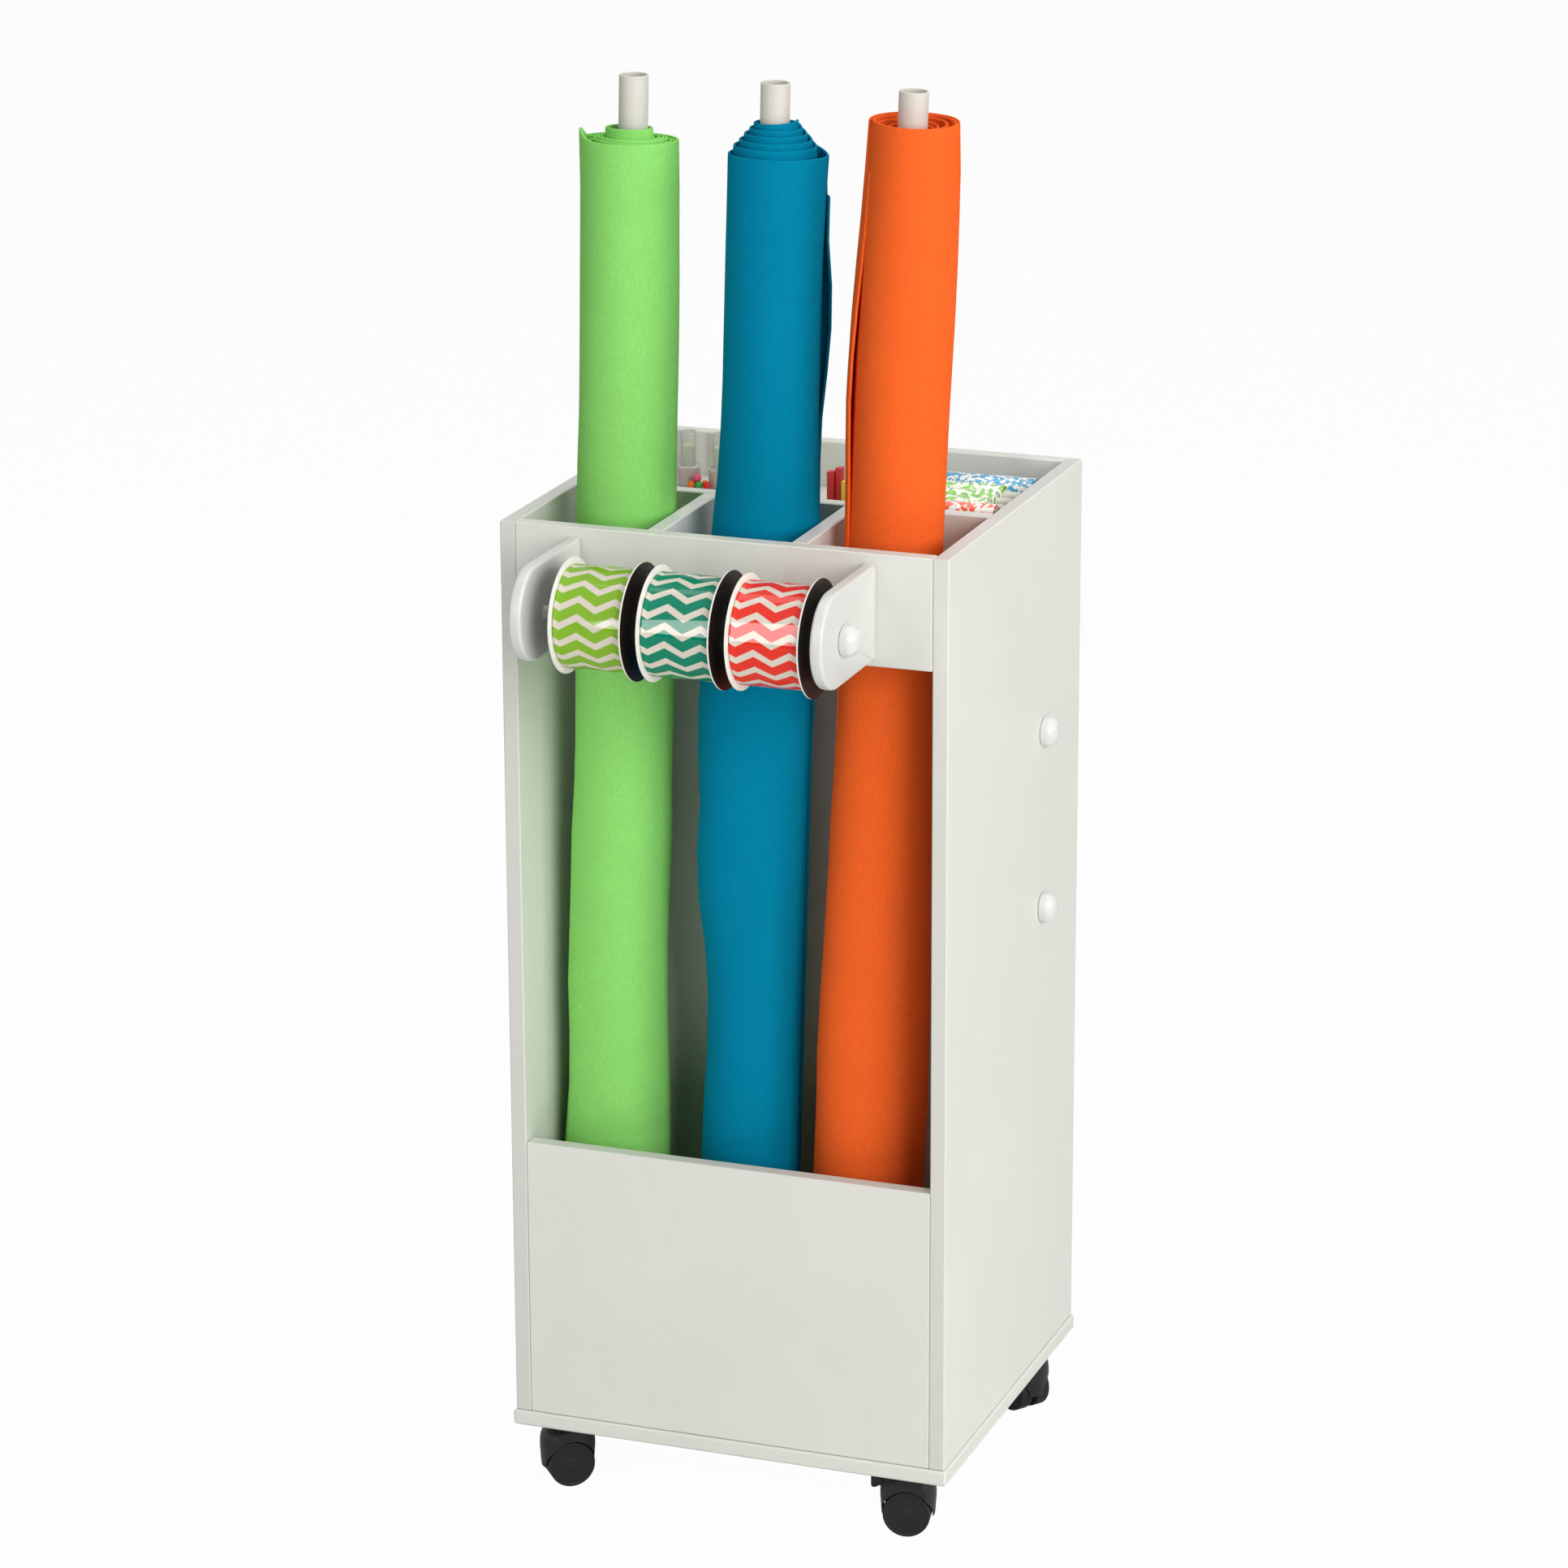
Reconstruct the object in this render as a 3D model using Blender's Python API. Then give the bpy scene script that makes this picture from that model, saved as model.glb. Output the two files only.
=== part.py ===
"""Craft storage cart on casters, with three rolls of felt, a ribbon holder and a shallow tray.

Metres, +Z up. The front faces -Y. The origin is on the floor, under the middle of the whole cart.
"""
import math

import bmesh
import bpy
from mathutils import Matrix, Vector

# Clearances
SEAT = 0.0003
RUN = 0.0004
OVERRUN = 0.005
OVERLAP = 0.0008

# Cabinet boards
WIDTH = 0.362
DEPTH = 0.337
PANEL_HEIGHT = 0.737
BOARD = 0.0125
BASE_BOARD = 0.0125
BASE_PROUD = 0.002
BOARD_ROUND = 0.0008
BASE_ROUND = 0.0015
RAIL_HEIGHT = 0.0875
BACK_RAIL_HEIGHT = 0.090
LOWER_PANEL_HEIGHT = 0.231
ROLL_SPACE_DEPTH = 0.1207
TRAY_DEPTH = 0.037
SLOT_COUNT = 3

# Wooden dowels, glued into one board's end and reaching into the board that it meets
PIN_RADIUS = 0.003
PIN_REACH = 0.008
PIN_INSET = 0.022

# Ribbon holder
BRACKET_SPREAD = 0.248
BRACKET_THICKNESS = 0.010
BRACKET_HEIGHT = 0.074
BRACKET_REACH = 0.122
BRACKET_DROP = 0.0075
BRACKET_ROUND = 0.001
BRACKET_PIN_INSET = 0.018
RIBBON_DOWEL_FORWARD = 0.074
RIBBON_DOWEL_DROP = 0.0472
RIBBON_DOWEL_RADIUS = 0.00475
BRACKET_STEPS = 10

# Spools of ribbon
SPOOL_COUNT = 3
SPOOL_PITCH = 0.070
SPOOL_WIDTH = 0.0585
SPOOL_OFFSET = 0.0055
SPOOL_BORE_RADIUS = 0.0056
SPOOL_CORE_RADIUS = 0.009
FLANGE_RADIUS = 0.044
DISC_RADIUS = 0.045
FLANGE_THICKNESS = 0.0016
RIBBON_RADIUS = 0.0395
RIBBON_STEP = 0.0008

# Cross dowels in the rear bay, and the domed caps on all dowels
REAR_DOWEL_RADIUS = 0.00635
REAR_DOWEL_BACK = 0.242
UPPER_DOWEL_HEIGHT = 0.537
LOWER_DOWEL_HEIGHT = 0.390
CAP_RADIUS = 0.012
CAP_LENGTH = 0.0125
CAP_RIM = 0.004
CAP_SOCKET = 0.008
CAP_STEPS = 3

# Casters
CASTER_HEIGHT = 0.0585
CASTER_INSET_X = 0.035
CASTER_INSET_Y = 0.036
CASTER_TRAIL = 0.006
WHEEL_RADIUS = 0.019
WHEEL_WIDTH = 0.0118
WHEEL_ROUND = 0.0014
HOOD_WEB = 0.0046
HOOD_RADIUS = 0.0226
HOOD_RADIUS_SHARES = (0.945, 0.975, 1.0, 0.97, 0.86, 0.66)
HOOD_HEIGHT_SHARES = (0.0, 0.30, 0.53, 0.79, 0.93, 1.0)
HOOD_TOP = 0.049
HOOD_BOSS_TOP = 0.0525
HOOD_BOSS_RADIUS = 0.009
HOOD_WHEEL_GAP = 0.0013
EAR_BOTTOM = 0.0158
EAR_SLOT_TOP = 0.0245
AXLE_BOSS_RADIUS = 0.006
AXLE_RADIUS = 0.002
AXLE_INSET = 0.002
STEM_RADIUS = 0.004
STEM_SHAFT_BOTTOM = 0.0425
STEM_COLLAR_RADIUS = 0.0085
STEM_TOP_INSET = 0.002
RIGHT_CASTER_TURN = 11.0
LEFT_CASTER_TURN = 39.0
REAR_CASTER_TURN = -35.0

# Brake lever on the front right hood
LEVER_WIDTH = 0.011
LEVER_ARM = 0.0062
LEVER_TAB = 0.0095
LEVER_REACH = 0.0295
LEVER_PIVOT_OUT = 0.0165
LEVER_PIVOT_HEIGHT = 0.0418
LEVER_HUB_RADIUS = 0.0033
LEVER_PIN_RADIUS = 0.0015
LEVER_PIN_REACH = 0.0018
LEVER_ROOM = 0.0016
LEVER_CORNER = 0.0012
LEVER_SLOPE_SHARE = 0.4

# Rolls of felt, each wound on a tube. Leans, seams and the angles of the swells are in degrees.
# A foot's offset is from the middle of its slot.
TUBE_RADIUS = 0.0112
TUBE_WALL = 0.0016
TUBE_TOP = 1.073
FELT = 0.0022
FELT_SEAM = 0.0026
ROLL_BACK = 0.0745
GREEN_RADIUS = 0.038
GREEN_FOOT_OFFSET = -0.0069
GREEN_LEAN = 1.4
GREEN_TOP = 1.026
GREEN_RISE = 0.005
GREEN_LAYERS = 3
GREEN_SEAM = 170
GREEN_FLARE = 0.0068
GREEN_CURL = 0.003
BLUE_RADIUS = 0.036
BLUE_FOOT_OFFSET = -0.0087
BLUE_LEAN = 1.73
BLUE_TOP = 1.021
BLUE_RISE = 0.024
BLUE_LAYERS = 5
BLUE_SEAM = 10
BLUE_BULGE = 0.0155
BLUE_FLAP = 0.0055
ORANGE_RADIUS = 0.036
ORANGE_FOOT_OFFSET = -0.0312
ORANGE_LEAN = 2.3
ORANGE_TOP = 1.051
ORANGE_RISE = 0.002
ORANGE_LAYERS = 2
ORANGE_SEAM = 190
ORANGE_FLARE = 0.0105
ORANGE_SPREAD = 0.008
ORANGE_FLAP = 0.006

# Where a roll's last turn stands off: angle, spread, low and high end as shares of the length, how far
GREEN_SWELLS = ((200, 55, -0.25, 0.42, GREEN_FLARE), (200, 30, 0.84, 1.1, GREEN_CURL))
BLUE_SWELLS = ((200, 60, 0.30, 0.78, BLUE_BULGE), (20, 24, 0.79, 0.985, BLUE_FLAP))
ORANGE_SWELLS = ((200, 70, -0.6, 0.64, ORANGE_FLARE), (20, 70, -0.6, 0.56, ORANGE_SPREAD),
                 (200, 24, 0.705, 0.985, ORANGE_FLAP))
ROLL_RING_SHARES = (0.012, 0.12, 0.22, 0.34, 0.52, 0.69, 0.78, 0.88, 0.96, 0.994)
SEAM_SHARE = 0.004

# Supplies in the tray
JAR_RADIUS = 0.0088
JAR_NECK_RADIUS = 0.0062
JAR_RIM_RADIUS = 0.0066
JAR_HEIGHT = 0.0445
JAR_CUP_HEIGHT = 0.0165
JAR_NECK_TOP = 0.037
JAR_WALL = 0.0012
JAR_X = 0.0425
JAR_FROM_BACK = 0.045
JAR_PITCH = 0.0275
POM_RADIUS = 0.0033
POM_SQUEEZE = 0.0008
POM_COUNT = 4
STICK_WIDTH = 0.0060
STICK_DEPTH = 0.0075
STICK_HEIGHT = 0.041
STICK_STEP = 0.0025
STICK_X = 0.1877
STICK_Y = 0.226
PAPER_ROLL_LENGTH = 0.112
PAPER_ROLL_END_GAP = 0.0045
LOWER_PAPER_SHARE = 0.060
UPPER_PAPER_SHARE = 0.056
PAPER_SQUEEZE = 0.0011
BACK_PAPER_SHARE = 0.098
PAPER_TUBE_RADIUS = 0.0056
PAPER_TUBE_REACH = 0.013
PAPER_TUBE_BORE = 0.0045
PAPER_TUBE_BORE_DEPTH = 0.020
LOWER_PAPER_COUNT = 5

# Numbers of sides of round pieces
WHEEL_SIDES = 24
HOOD_SIDES = 24
SPOOL_SIDES = 28
ROLL_SIDES = 26
ROD_SIDES = 16
CAP_SIDES = 12
JAR_SIDES = 12
PAPER_SIDES = 12
SMALL_SIDES = 8
PIN_SIDES = 6

# Places worked out from the sizes above
FRONT = -(DEPTH + BASE_PROUD - BRACKET_REACH) / 2
BACK = FRONT + DEPTH
LEFT = -WIDTH / 2
RIGHT = WIDTH / 2
BASE_BOTTOM = CASTER_HEIGHT
BASE_TOP = BASE_BOTTOM + BASE_BOARD
PANEL_TOP = BASE_TOP + PANEL_HEIGHT
INNER_LEFT = LEFT + BOARD
INNER_RIGHT = RIGHT - BOARD
MIDDLE_FRONT = FRONT + BOARD + ROLL_SPACE_DEPTH
MIDDLE_BACK = MIDDLE_FRONT + BOARD
TRAY_FLOOR = PANEL_TOP - TRAY_DEPTH
SLOT_WIDTH = (WIDTH - (SLOT_COUNT + 1) * BOARD) / SLOT_COUNT
TRAY_ROOM = BACK - BOARD - MIDDLE_BACK
LOWER_PAPER_RADIUS = LOWER_PAPER_SHARE * TRAY_ROOM
UPPER_PAPER_RADIUS = UPPER_PAPER_SHARE * TRAY_ROOM
BACK_PAPER_RADIUS = BACK_PAPER_SHARE * TRAY_ROOM

WHITE = (0.86, 0.86, 0.83)
DARK_PLASTIC = (0.035, 0.033, 0.033)
CARD = (0.90, 0.88, 0.82)
CAP_WHITE = (0.88, 0.88, 0.86)
TUBE_WHITE = (0.85, 0.85, 0.82)
STEEL = (0.55, 0.55, 0.54)
JAR_GREY = (0.80, 0.83, 0.80)
BLACK = (0.02, 0.02, 0.02)


def clear_scene():
    for thing in list(bpy.data.objects):
        bpy.data.objects.remove(thing)


def material(name, colour, roughness, metallic=0.0, alpha=1.0):
    made = bpy.data.materials.new(name)
    made.use_nodes = True
    shader = made.node_tree.nodes["Principled BSDF"]
    shader.inputs["Base Color"].default_value = (*colour, 1.0)
    shader.inputs["Roughness"].default_value = roughness
    shader.inputs["Metallic"].default_value = metallic
    shader.inputs["Alpha"].default_value = alpha
    made.diffuse_color = (*colour, alpha)
    return made


def add(name, shape, colour, roughness=0.5, metallic=0.0, place=(0, 0, 0), turn=None, alpha=1.0,
        smooth=True):
    """Put a bmesh into the scene as one named piece with its own material."""
    bmesh.ops.recalc_face_normals(shape, faces=shape.faces[:])
    mesh = bpy.data.meshes.new(name)
    shape.to_mesh(mesh)
    shape.free()
    if smooth:
        mesh.shade_smooth()
        mesh.set_sharp_from_angle(angle=math.radians(35))
    piece = bpy.data.objects.new(name, mesh)
    bpy.context.collection.objects.link(piece)
    mesh.materials.append(material(name, colour, roughness, metallic, alpha))
    piece.matrix_world = Matrix.Translation(place) @ (turn or Matrix()).to_4x4()
    return piece


def box_shape(low, high):
    shape = bmesh.new()
    bmesh.ops.create_cube(shape, size=1.0)
    low, high = Vector(low), Vector(high)
    for corner in shape.verts:
        corner.co = Vector(l + (h - l) * (c + 0.5) for l, h, c in zip(low, high, corner.co))
    return shape


def turned_shape(profile, sides, closed=False):
    """Turn (radius, height) points about Z. Radius 0 makes a pole. Closed joins the last ring to the first."""
    shape = bmesh.new()
    rings = []
    for radius, height in profile:
        if radius == 0:
            rings.append([shape.verts.new((0, 0, height))])
            continue
        angles = [2 * math.pi * (k + 0.5) / sides for k in range(sides)]
        rings.append([shape.verts.new((radius * math.cos(a), radius * math.sin(a), height)) for a in angles])
    pairs = list(zip(rings, rings[1:]))
    if closed:
        pairs.append((rings[-1], rings[0]))
    for lower, upper in pairs:
        for k in range(sides):
            n = (k + 1) % sides
            if len(lower) == 1:
                shape.faces.new((lower[0], upper[n], upper[k]))
            elif len(upper) == 1:
                shape.faces.new((lower[k], lower[n], upper[0]))
            else:
                shape.faces.new((lower[k], lower[n], upper[n], upper[k]))
    return shape


def extruded_shape(outline, start, end):
    """Extrude an outline of (y, z) points along X from start to end."""
    shape = bmesh.new()
    first = [shape.verts.new((start, y, z)) for y, z in outline]
    last = [shape.verts.new((end, y, z)) for y, z in outline]
    shape.faces.new(first)
    shape.faces.new(last[::-1])
    for k in range(len(outline)):
        n = (k + 1) % len(outline)
        shape.faces.new((first[k], first[n], last[n], last[k]))
    return shape


def merged(shapes):
    whole = bmesh.new()
    for shape in shapes:
        mesh = bpy.data.meshes.new("part_of_group")
        shape.to_mesh(mesh)
        whole.from_mesh(mesh)
        shape.free()
        bpy.data.meshes.remove(mesh)
    return whole


def moved(shape, place=(0, 0, 0), turn=None):
    change = Matrix.Translation(place) @ (turn or Matrix()).to_4x4()
    bmesh.ops.transform(shape, matrix=change, verts=shape.verts[:])
    return shape


def turn_to(direction):
    """The turn that takes +Z to a direction."""
    return Vector((0, 0, 1)).rotation_difference(Vector(direction)).to_matrix()


def rod_shape(start, end, radius, sides):
    start, end = Vector(start), Vector(end)
    length = (end - start).length
    shape = turned_shape([(0, 0), (radius, 0), (radius, length), (0, length)], sides)
    return moved(shape, start, turn_to(end - start))


def boolean(piece, shapes, operation):
    """Join shapes to a piece or take them away, with one Boolean. The shapes are in world places."""
    whole = merged(shapes)
    bmesh.ops.recalc_face_normals(whole, faces=whole.faces[:])
    mesh = bpy.data.meshes.new(piece.name + "_guide")
    whole.to_mesh(mesh)
    whole.free()
    guide = bpy.data.objects.new(piece.name + "_guide", mesh)
    bpy.context.collection.objects.link(guide)
    guide.hide_render = True
    guide.display_type = "WIRE"
    change = piece.modifiers.new(operation.lower(), "BOOLEAN")
    change.operation = operation
    change.solver = "EXACT"
    change.use_self = True
    change.object = guide


def join(piece, shapes):
    boolean(piece, shapes, "UNION")


def cut(piece, shapes):
    boolean(piece, shapes, "DIFFERENCE")


def round_edges(piece, width, segments=1):
    rounding = piece.modifiers.new("rounded edges", "BEVEL")
    rounding.width = width
    rounding.segments = segments
    rounding.limit_method = "ANGLE"


pins = {}
holes = {}


def board(name, low, high, rounding=BOARD_ROUND):
    piece = add(name, box_shape(low, high), WHITE, 0.45, smooth=False)
    round_edges(piece, rounding)
    return piece


def make_boards():
    """The boards of the cabinet, each a hair short of the board it meets."""
    boards = {}
    low, top = BASE_TOP + SEAT, PANEL_TOP
    inner_left, inner_right = INNER_LEFT + SEAT, INNER_RIGHT - SEAT
    boards["base_board"] = board(
        "base_board", (LEFT - BASE_PROUD, FRONT - BASE_PROUD, BASE_BOTTOM),
        (RIGHT + BASE_PROUD, BACK + BASE_PROUD, BASE_TOP), BASE_ROUND)
    boards["side_panel_left"] = board("side_panel_left", (LEFT, FRONT, low), (INNER_LEFT, BACK, top))
    boards["side_panel_right"] = board("side_panel_right", (INNER_RIGHT, FRONT, low), (RIGHT, BACK, top))
    boards["front_rail"] = board(
        "front_rail", (inner_left, FRONT, top - RAIL_HEIGHT), (inner_right, FRONT + BOARD, top))
    boards["lower_front_panel"] = board(
        "lower_front_panel", (inner_left, FRONT, low),
        (inner_right, FRONT + BOARD, BASE_TOP + LOWER_PANEL_HEIGHT))
    boards["middle_panel"] = board(
        "middle_panel", (inner_left, MIDDLE_FRONT, low), (inner_right, MIDDLE_BACK, top))
    boards["back_rail"] = board(
        "back_rail", (inner_left, BACK - BOARD, top - BACK_RAIL_HEIGHT), (inner_right, BACK, top))
    boards["tray_floor"] = board(
        "tray_floor", (inner_left, MIDDLE_BACK + SEAT, TRAY_FLOOR - BOARD),
        (inner_right, BACK - BOARD - SEAT, TRAY_FLOOR))
    for name, x in divider_places():
        boards[name] = board(
            name, (x, FRONT + BOARD + SEAT, top - RAIL_HEIGHT), (x + BOARD, MIDDLE_FRONT - SEAT, top))
    return boards


def divider_places():
    """Each slot divider's name and the x of its left face, so that the slots are equal."""
    places = [INNER_LEFT + slot * SLOT_WIDTH + (slot - 1) * BOARD for slot in range(1, SLOT_COUNT)]
    return list(zip(("slot_divider_left", "slot_divider_right"), places))


def pin(end_board, face_board, place, way):
    """A dowel that stands out of one board's end at a place, and its hole in the board that it enters."""
    place, way = Vector(place), Vector(way)
    start, end = place - way * PIN_REACH, place + way * PIN_REACH
    pins.setdefault(end_board, []).append(rod_shape(start, end, PIN_RADIUS, PIN_SIDES))
    hole = rod_shape(place - way * OVERRUN, end + way * SEAT, PIN_RADIUS + SEAT, PIN_SIDES)
    holes.setdefault(face_board, []).append(hole)


def joint_pins():
    """Every joint between two boards has two or three dowels."""
    rail_middle = FRONT + BOARD / 2
    panel_middle = (MIDDLE_FRONT + MIDDLE_BACK) / 2
    back_middle = BACK - BOARD / 2
    rail_heights = (PANEL_TOP - PIN_INSET, PANEL_TOP - RAIL_HEIGHT + PIN_INSET)
    back_heights = (PANEL_TOP - PIN_INSET, PANEL_TOP - BACK_RAIL_HEIGHT + PIN_INSET)
    lower_heights = (BASE_TOP + 2 * PIN_INSET, BASE_TOP + LOWER_PANEL_HEIGHT - PIN_INSET)
    middle_heights = (BASE_TOP + LOWER_PANEL_HEIGHT, BASE_TOP + (PANEL_HEIGHT + LOWER_PANEL_HEIGHT) / 2)
    floor_backs = (MIDDLE_BACK + 2 * PIN_INSET, BACK - BOARD - 2 * PIN_INSET)
    side_backs = (FRONT + 2 * PIN_INSET + BOARD, (MIDDLE_BACK + BACK) / 2, BACK - PIN_INSET)
    for side, x, way in (("side_panel_left", INNER_LEFT, -1), ("side_panel_right", INNER_RIGHT, 1)):
        rows = [("front_rail", rail_middle, z) for z in rail_heights]
        rows += [("lower_front_panel", rail_middle, z) for z in lower_heights]
        rows += [("middle_panel", panel_middle, z) for z in middle_heights]
        rows += [("back_rail", back_middle, z) for z in back_heights]
        rows += [("tray_floor", y, TRAY_FLOOR - BOARD / 2) for y in floor_backs]
        for name, y, z in rows:
            pin(name, side, (x, y, z), (way, 0, 0))
        for y in side_backs:
            pin(side, "base_board", (x + way * BOARD / 2, y, BASE_TOP), (0, 0, -1))
    for name, y in (("lower_front_panel", rail_middle), ("middle_panel", panel_middle)):
        for way in (-1, 1):
            pin(name, "base_board", (way * SLOT_WIDTH, y, BASE_TOP), (0, 0, -1))
    for name, x in divider_places():
        place = (x + BOARD / 2, FRONT + BOARD, PANEL_TOP - RAIL_HEIGHT / 2)
        pin(name, "front_rail", place, (0, -1, 0))
        pin(name, "middle_panel", (place[0], MIDDLE_FRONT, place[2]), (0, 1, 0))


def bracket_outline():
    """A straight tail at the rail and a half circle at the front, in (y, z)."""
    top = PANEL_TOP - BRACKET_DROP
    radius = BRACKET_HEIGHT / 2
    centre = FRONT - BRACKET_REACH + radius
    points = [(FRONT - SEAT, top - BRACKET_HEIGHT), (FRONT - SEAT, top)]
    for k in range(BRACKET_STEPS + 1):
        angle = math.pi / 2 + math.pi * k / BRACKET_STEPS
        points.append((centre + radius * math.cos(angle), top - radius + radius * math.sin(angle)))
    return points


def ribbon_holder():
    """Two brackets on the rail, and the dowel that runs through both."""
    y, z = FRONT - RIBBON_DOWEL_FORWARD, PANEL_TOP - RIBBON_DOWEL_DROP
    half = BRACKET_SPREAD / 2
    heights = (PANEL_TOP - BRACKET_DROP - BRACKET_PIN_INSET,
               PANEL_TOP - BRACKET_DROP - BRACKET_HEIGHT + BRACKET_PIN_INSET)
    brackets = {}
    for side, way in (("left", -1), ("right", 1)):
        name = "ribbon_bracket_" + side
        shape = extruded_shape(bracket_outline(), way * half, way * (half - BRACKET_THICKNESS))
        brackets[name] = add(name, shape, WHITE, 0.4)
        round_edges(brackets[name], BRACKET_ROUND)
        start, end = way * (half + OVERRUN), way * (half - BRACKET_THICKNESS - OVERRUN)
        holes[name] = [rod_shape((start, y, z), (end, y, z), RIBBON_DOWEL_RADIUS + RUN, ROD_SIDES)]
        for height in heights:
            pin(name, "front_rail", (way * (half - BRACKET_THICKNESS / 2), FRONT, height), (0, 1, 0))
    dowel("ribbon_dowel", "ribbon_cap", half, y, z, RIBBON_DOWEL_RADIUS)
    return brackets


def dowel(name, cap_name, half, y, z, radius):
    """A wooden dowel from cap to cap. Its caps sit just outside what it runs through."""
    reach = half + SEAT + CAP_SOCKET
    add(name, turned_shape([(0, -reach), (radius, -reach), (radius, reach), (0, reach)], ROD_SIDES),
        WHITE, 0.5, place=(0, y, z), turn=turn_to((1, 0, 0)))
    for side, way in (("left", -1), ("right", 1)):
        cap = cap_shape(way, half + SEAT, radius)
        add(cap_name + "_" + side, cap, CAP_WHITE, 0.3, place=(0, y, z))


def cap_shape(way, start, rod):
    """A domed cap with a blind socket for the dowel's end, its mouth towards the cart."""
    dome = CAP_LENGTH - CAP_RIM
    profile = [(0, CAP_SOCKET + SEAT), (rod + SEAT, CAP_SOCKET + SEAT), (rod + SEAT, 0), (CAP_RADIUS, 0)]
    for k in range(CAP_STEPS):
        angle = math.pi / 2 * k / CAP_STEPS
        profile.append((CAP_RADIUS * math.cos(angle), CAP_RIM + dome * math.sin(angle)))
    profile.append((0, CAP_LENGTH))
    return moved(turned_shape(profile, CAP_SIDES), (way * start, 0, 0), turn_to((way, 0, 0)))


def spool_tracks():
    """Each spool's name and the x of its left face."""
    first = -(SPOOL_COUNT - 1) * SPOOL_PITCH / 2 - SPOOL_WIDTH / 2 + SPOOL_OFFSET
    return [(name, first + k * SPOOL_PITCH) for k, name in enumerate(("green", "teal", "red"))]


def spools():
    """A spool hangs with the top of its bore on the dowel, so its axis is below the dowel's."""
    y = FRONT - RIBBON_DOWEL_FORWARD
    z = PANEL_TOP - RIBBON_DOWEL_DROP - (SPOOL_BORE_RADIUS - RIBBON_DOWEL_RADIUS - SEAT)
    inks = {"green": (0.22, 0.45, 0.02), "teal": (0.0, 0.21, 0.13), "red": (0.78, 0.03, 0.015)}
    near, far = FLANGE_THICKNESS, SPOOL_WIDTH - FLANGE_THICKNESS
    inner = SPOOL_CORE_RADIUS + SEAT
    core = [(SPOOL_BORE_RADIUS, 0), (FLANGE_RADIUS, 0), (FLANGE_RADIUS, near), (SPOOL_CORE_RADIUS, near),
            (SPOOL_CORE_RADIUS, far - SEAT), (SPOOL_BORE_RADIUS, far - SEAT)]
    disc = [(SPOOL_BORE_RADIUS, far), (DISC_RADIUS, far), (DISC_RADIUS, SPOOL_WIDTH),
            (SPOOL_BORE_RADIUS, SPOOL_WIDTH)]
    wound = [(inner, near + SEAT, 0), (RIBBON_RADIUS, near + SEAT, RIBBON_STEP),
             (RIBBON_RADIUS, far - SEAT, RIBBON_STEP), (inner, far - SEAT, 0)]
    for name, x in spool_tracks():
        place, turn = (x, y, z), turn_to((1, 0, 0))
        core_shape = turned_shape(core, SPOOL_SIDES, closed=True)
        disc_shape = turned_shape(disc, SPOOL_SIDES, closed=True)
        rings = [ring_points(radius, step, 0, SPOOL_SIDES, height) for radius, height, step in wound]
        add("spool_core_" + name, core_shape, CARD, 0.6, place=place, turn=turn)
        add("spool_disc_" + name, disc_shape, BLACK, 0.35, place=place, turn=turn)
        add("ribbon_" + name, looped_shape(rings), inks[name], 0.5, place=place, turn=turn)


def ring_points(radius, step, seam, sides, height, push=None):
    """A ring that grows by one step as it goes round, and drops back at its seam, as a wound sheet does."""
    points = []
    for k in range(sides):
        share = k / (sides - 1)
        angle = seam + 2 * math.pi * (k / sides if k < sides - 1 else 1 - SEAM_SHARE)
        r = radius - step * (1 - share)
        if push:
            r += push(angle, height)
        points.append((r * math.cos(angle), r * math.sin(angle), height))
    return points


def looped_shape(rings):
    """Join rings of equal counts into one closed tube-like shell, the last ring to the first."""
    shape = bmesh.new()
    rows = [[shape.verts.new(point) for point in ring] for ring in rings]
    for lower, upper in zip(rows, rows[1:] + rows[:1]):
        for k in range(len(lower)):
            n = (k + 1) % len(lower)
            shape.faces.new((lower[k], lower[n], upper[n], upper[k]))
    return shape


def bump(angle, share, at_angle, spread, low, high):
    """A smooth swelling round one angle between two shares of the length, from 0 to 1."""
    off = math.atan2(math.sin(angle - at_angle), math.cos(angle - at_angle))
    around = math.exp(-(off / spread) ** 2)
    if share <= low or share >= high:
        return 0.0
    return around * math.sin(math.pi * (share - low) / (high - low)) ** 2


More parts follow.
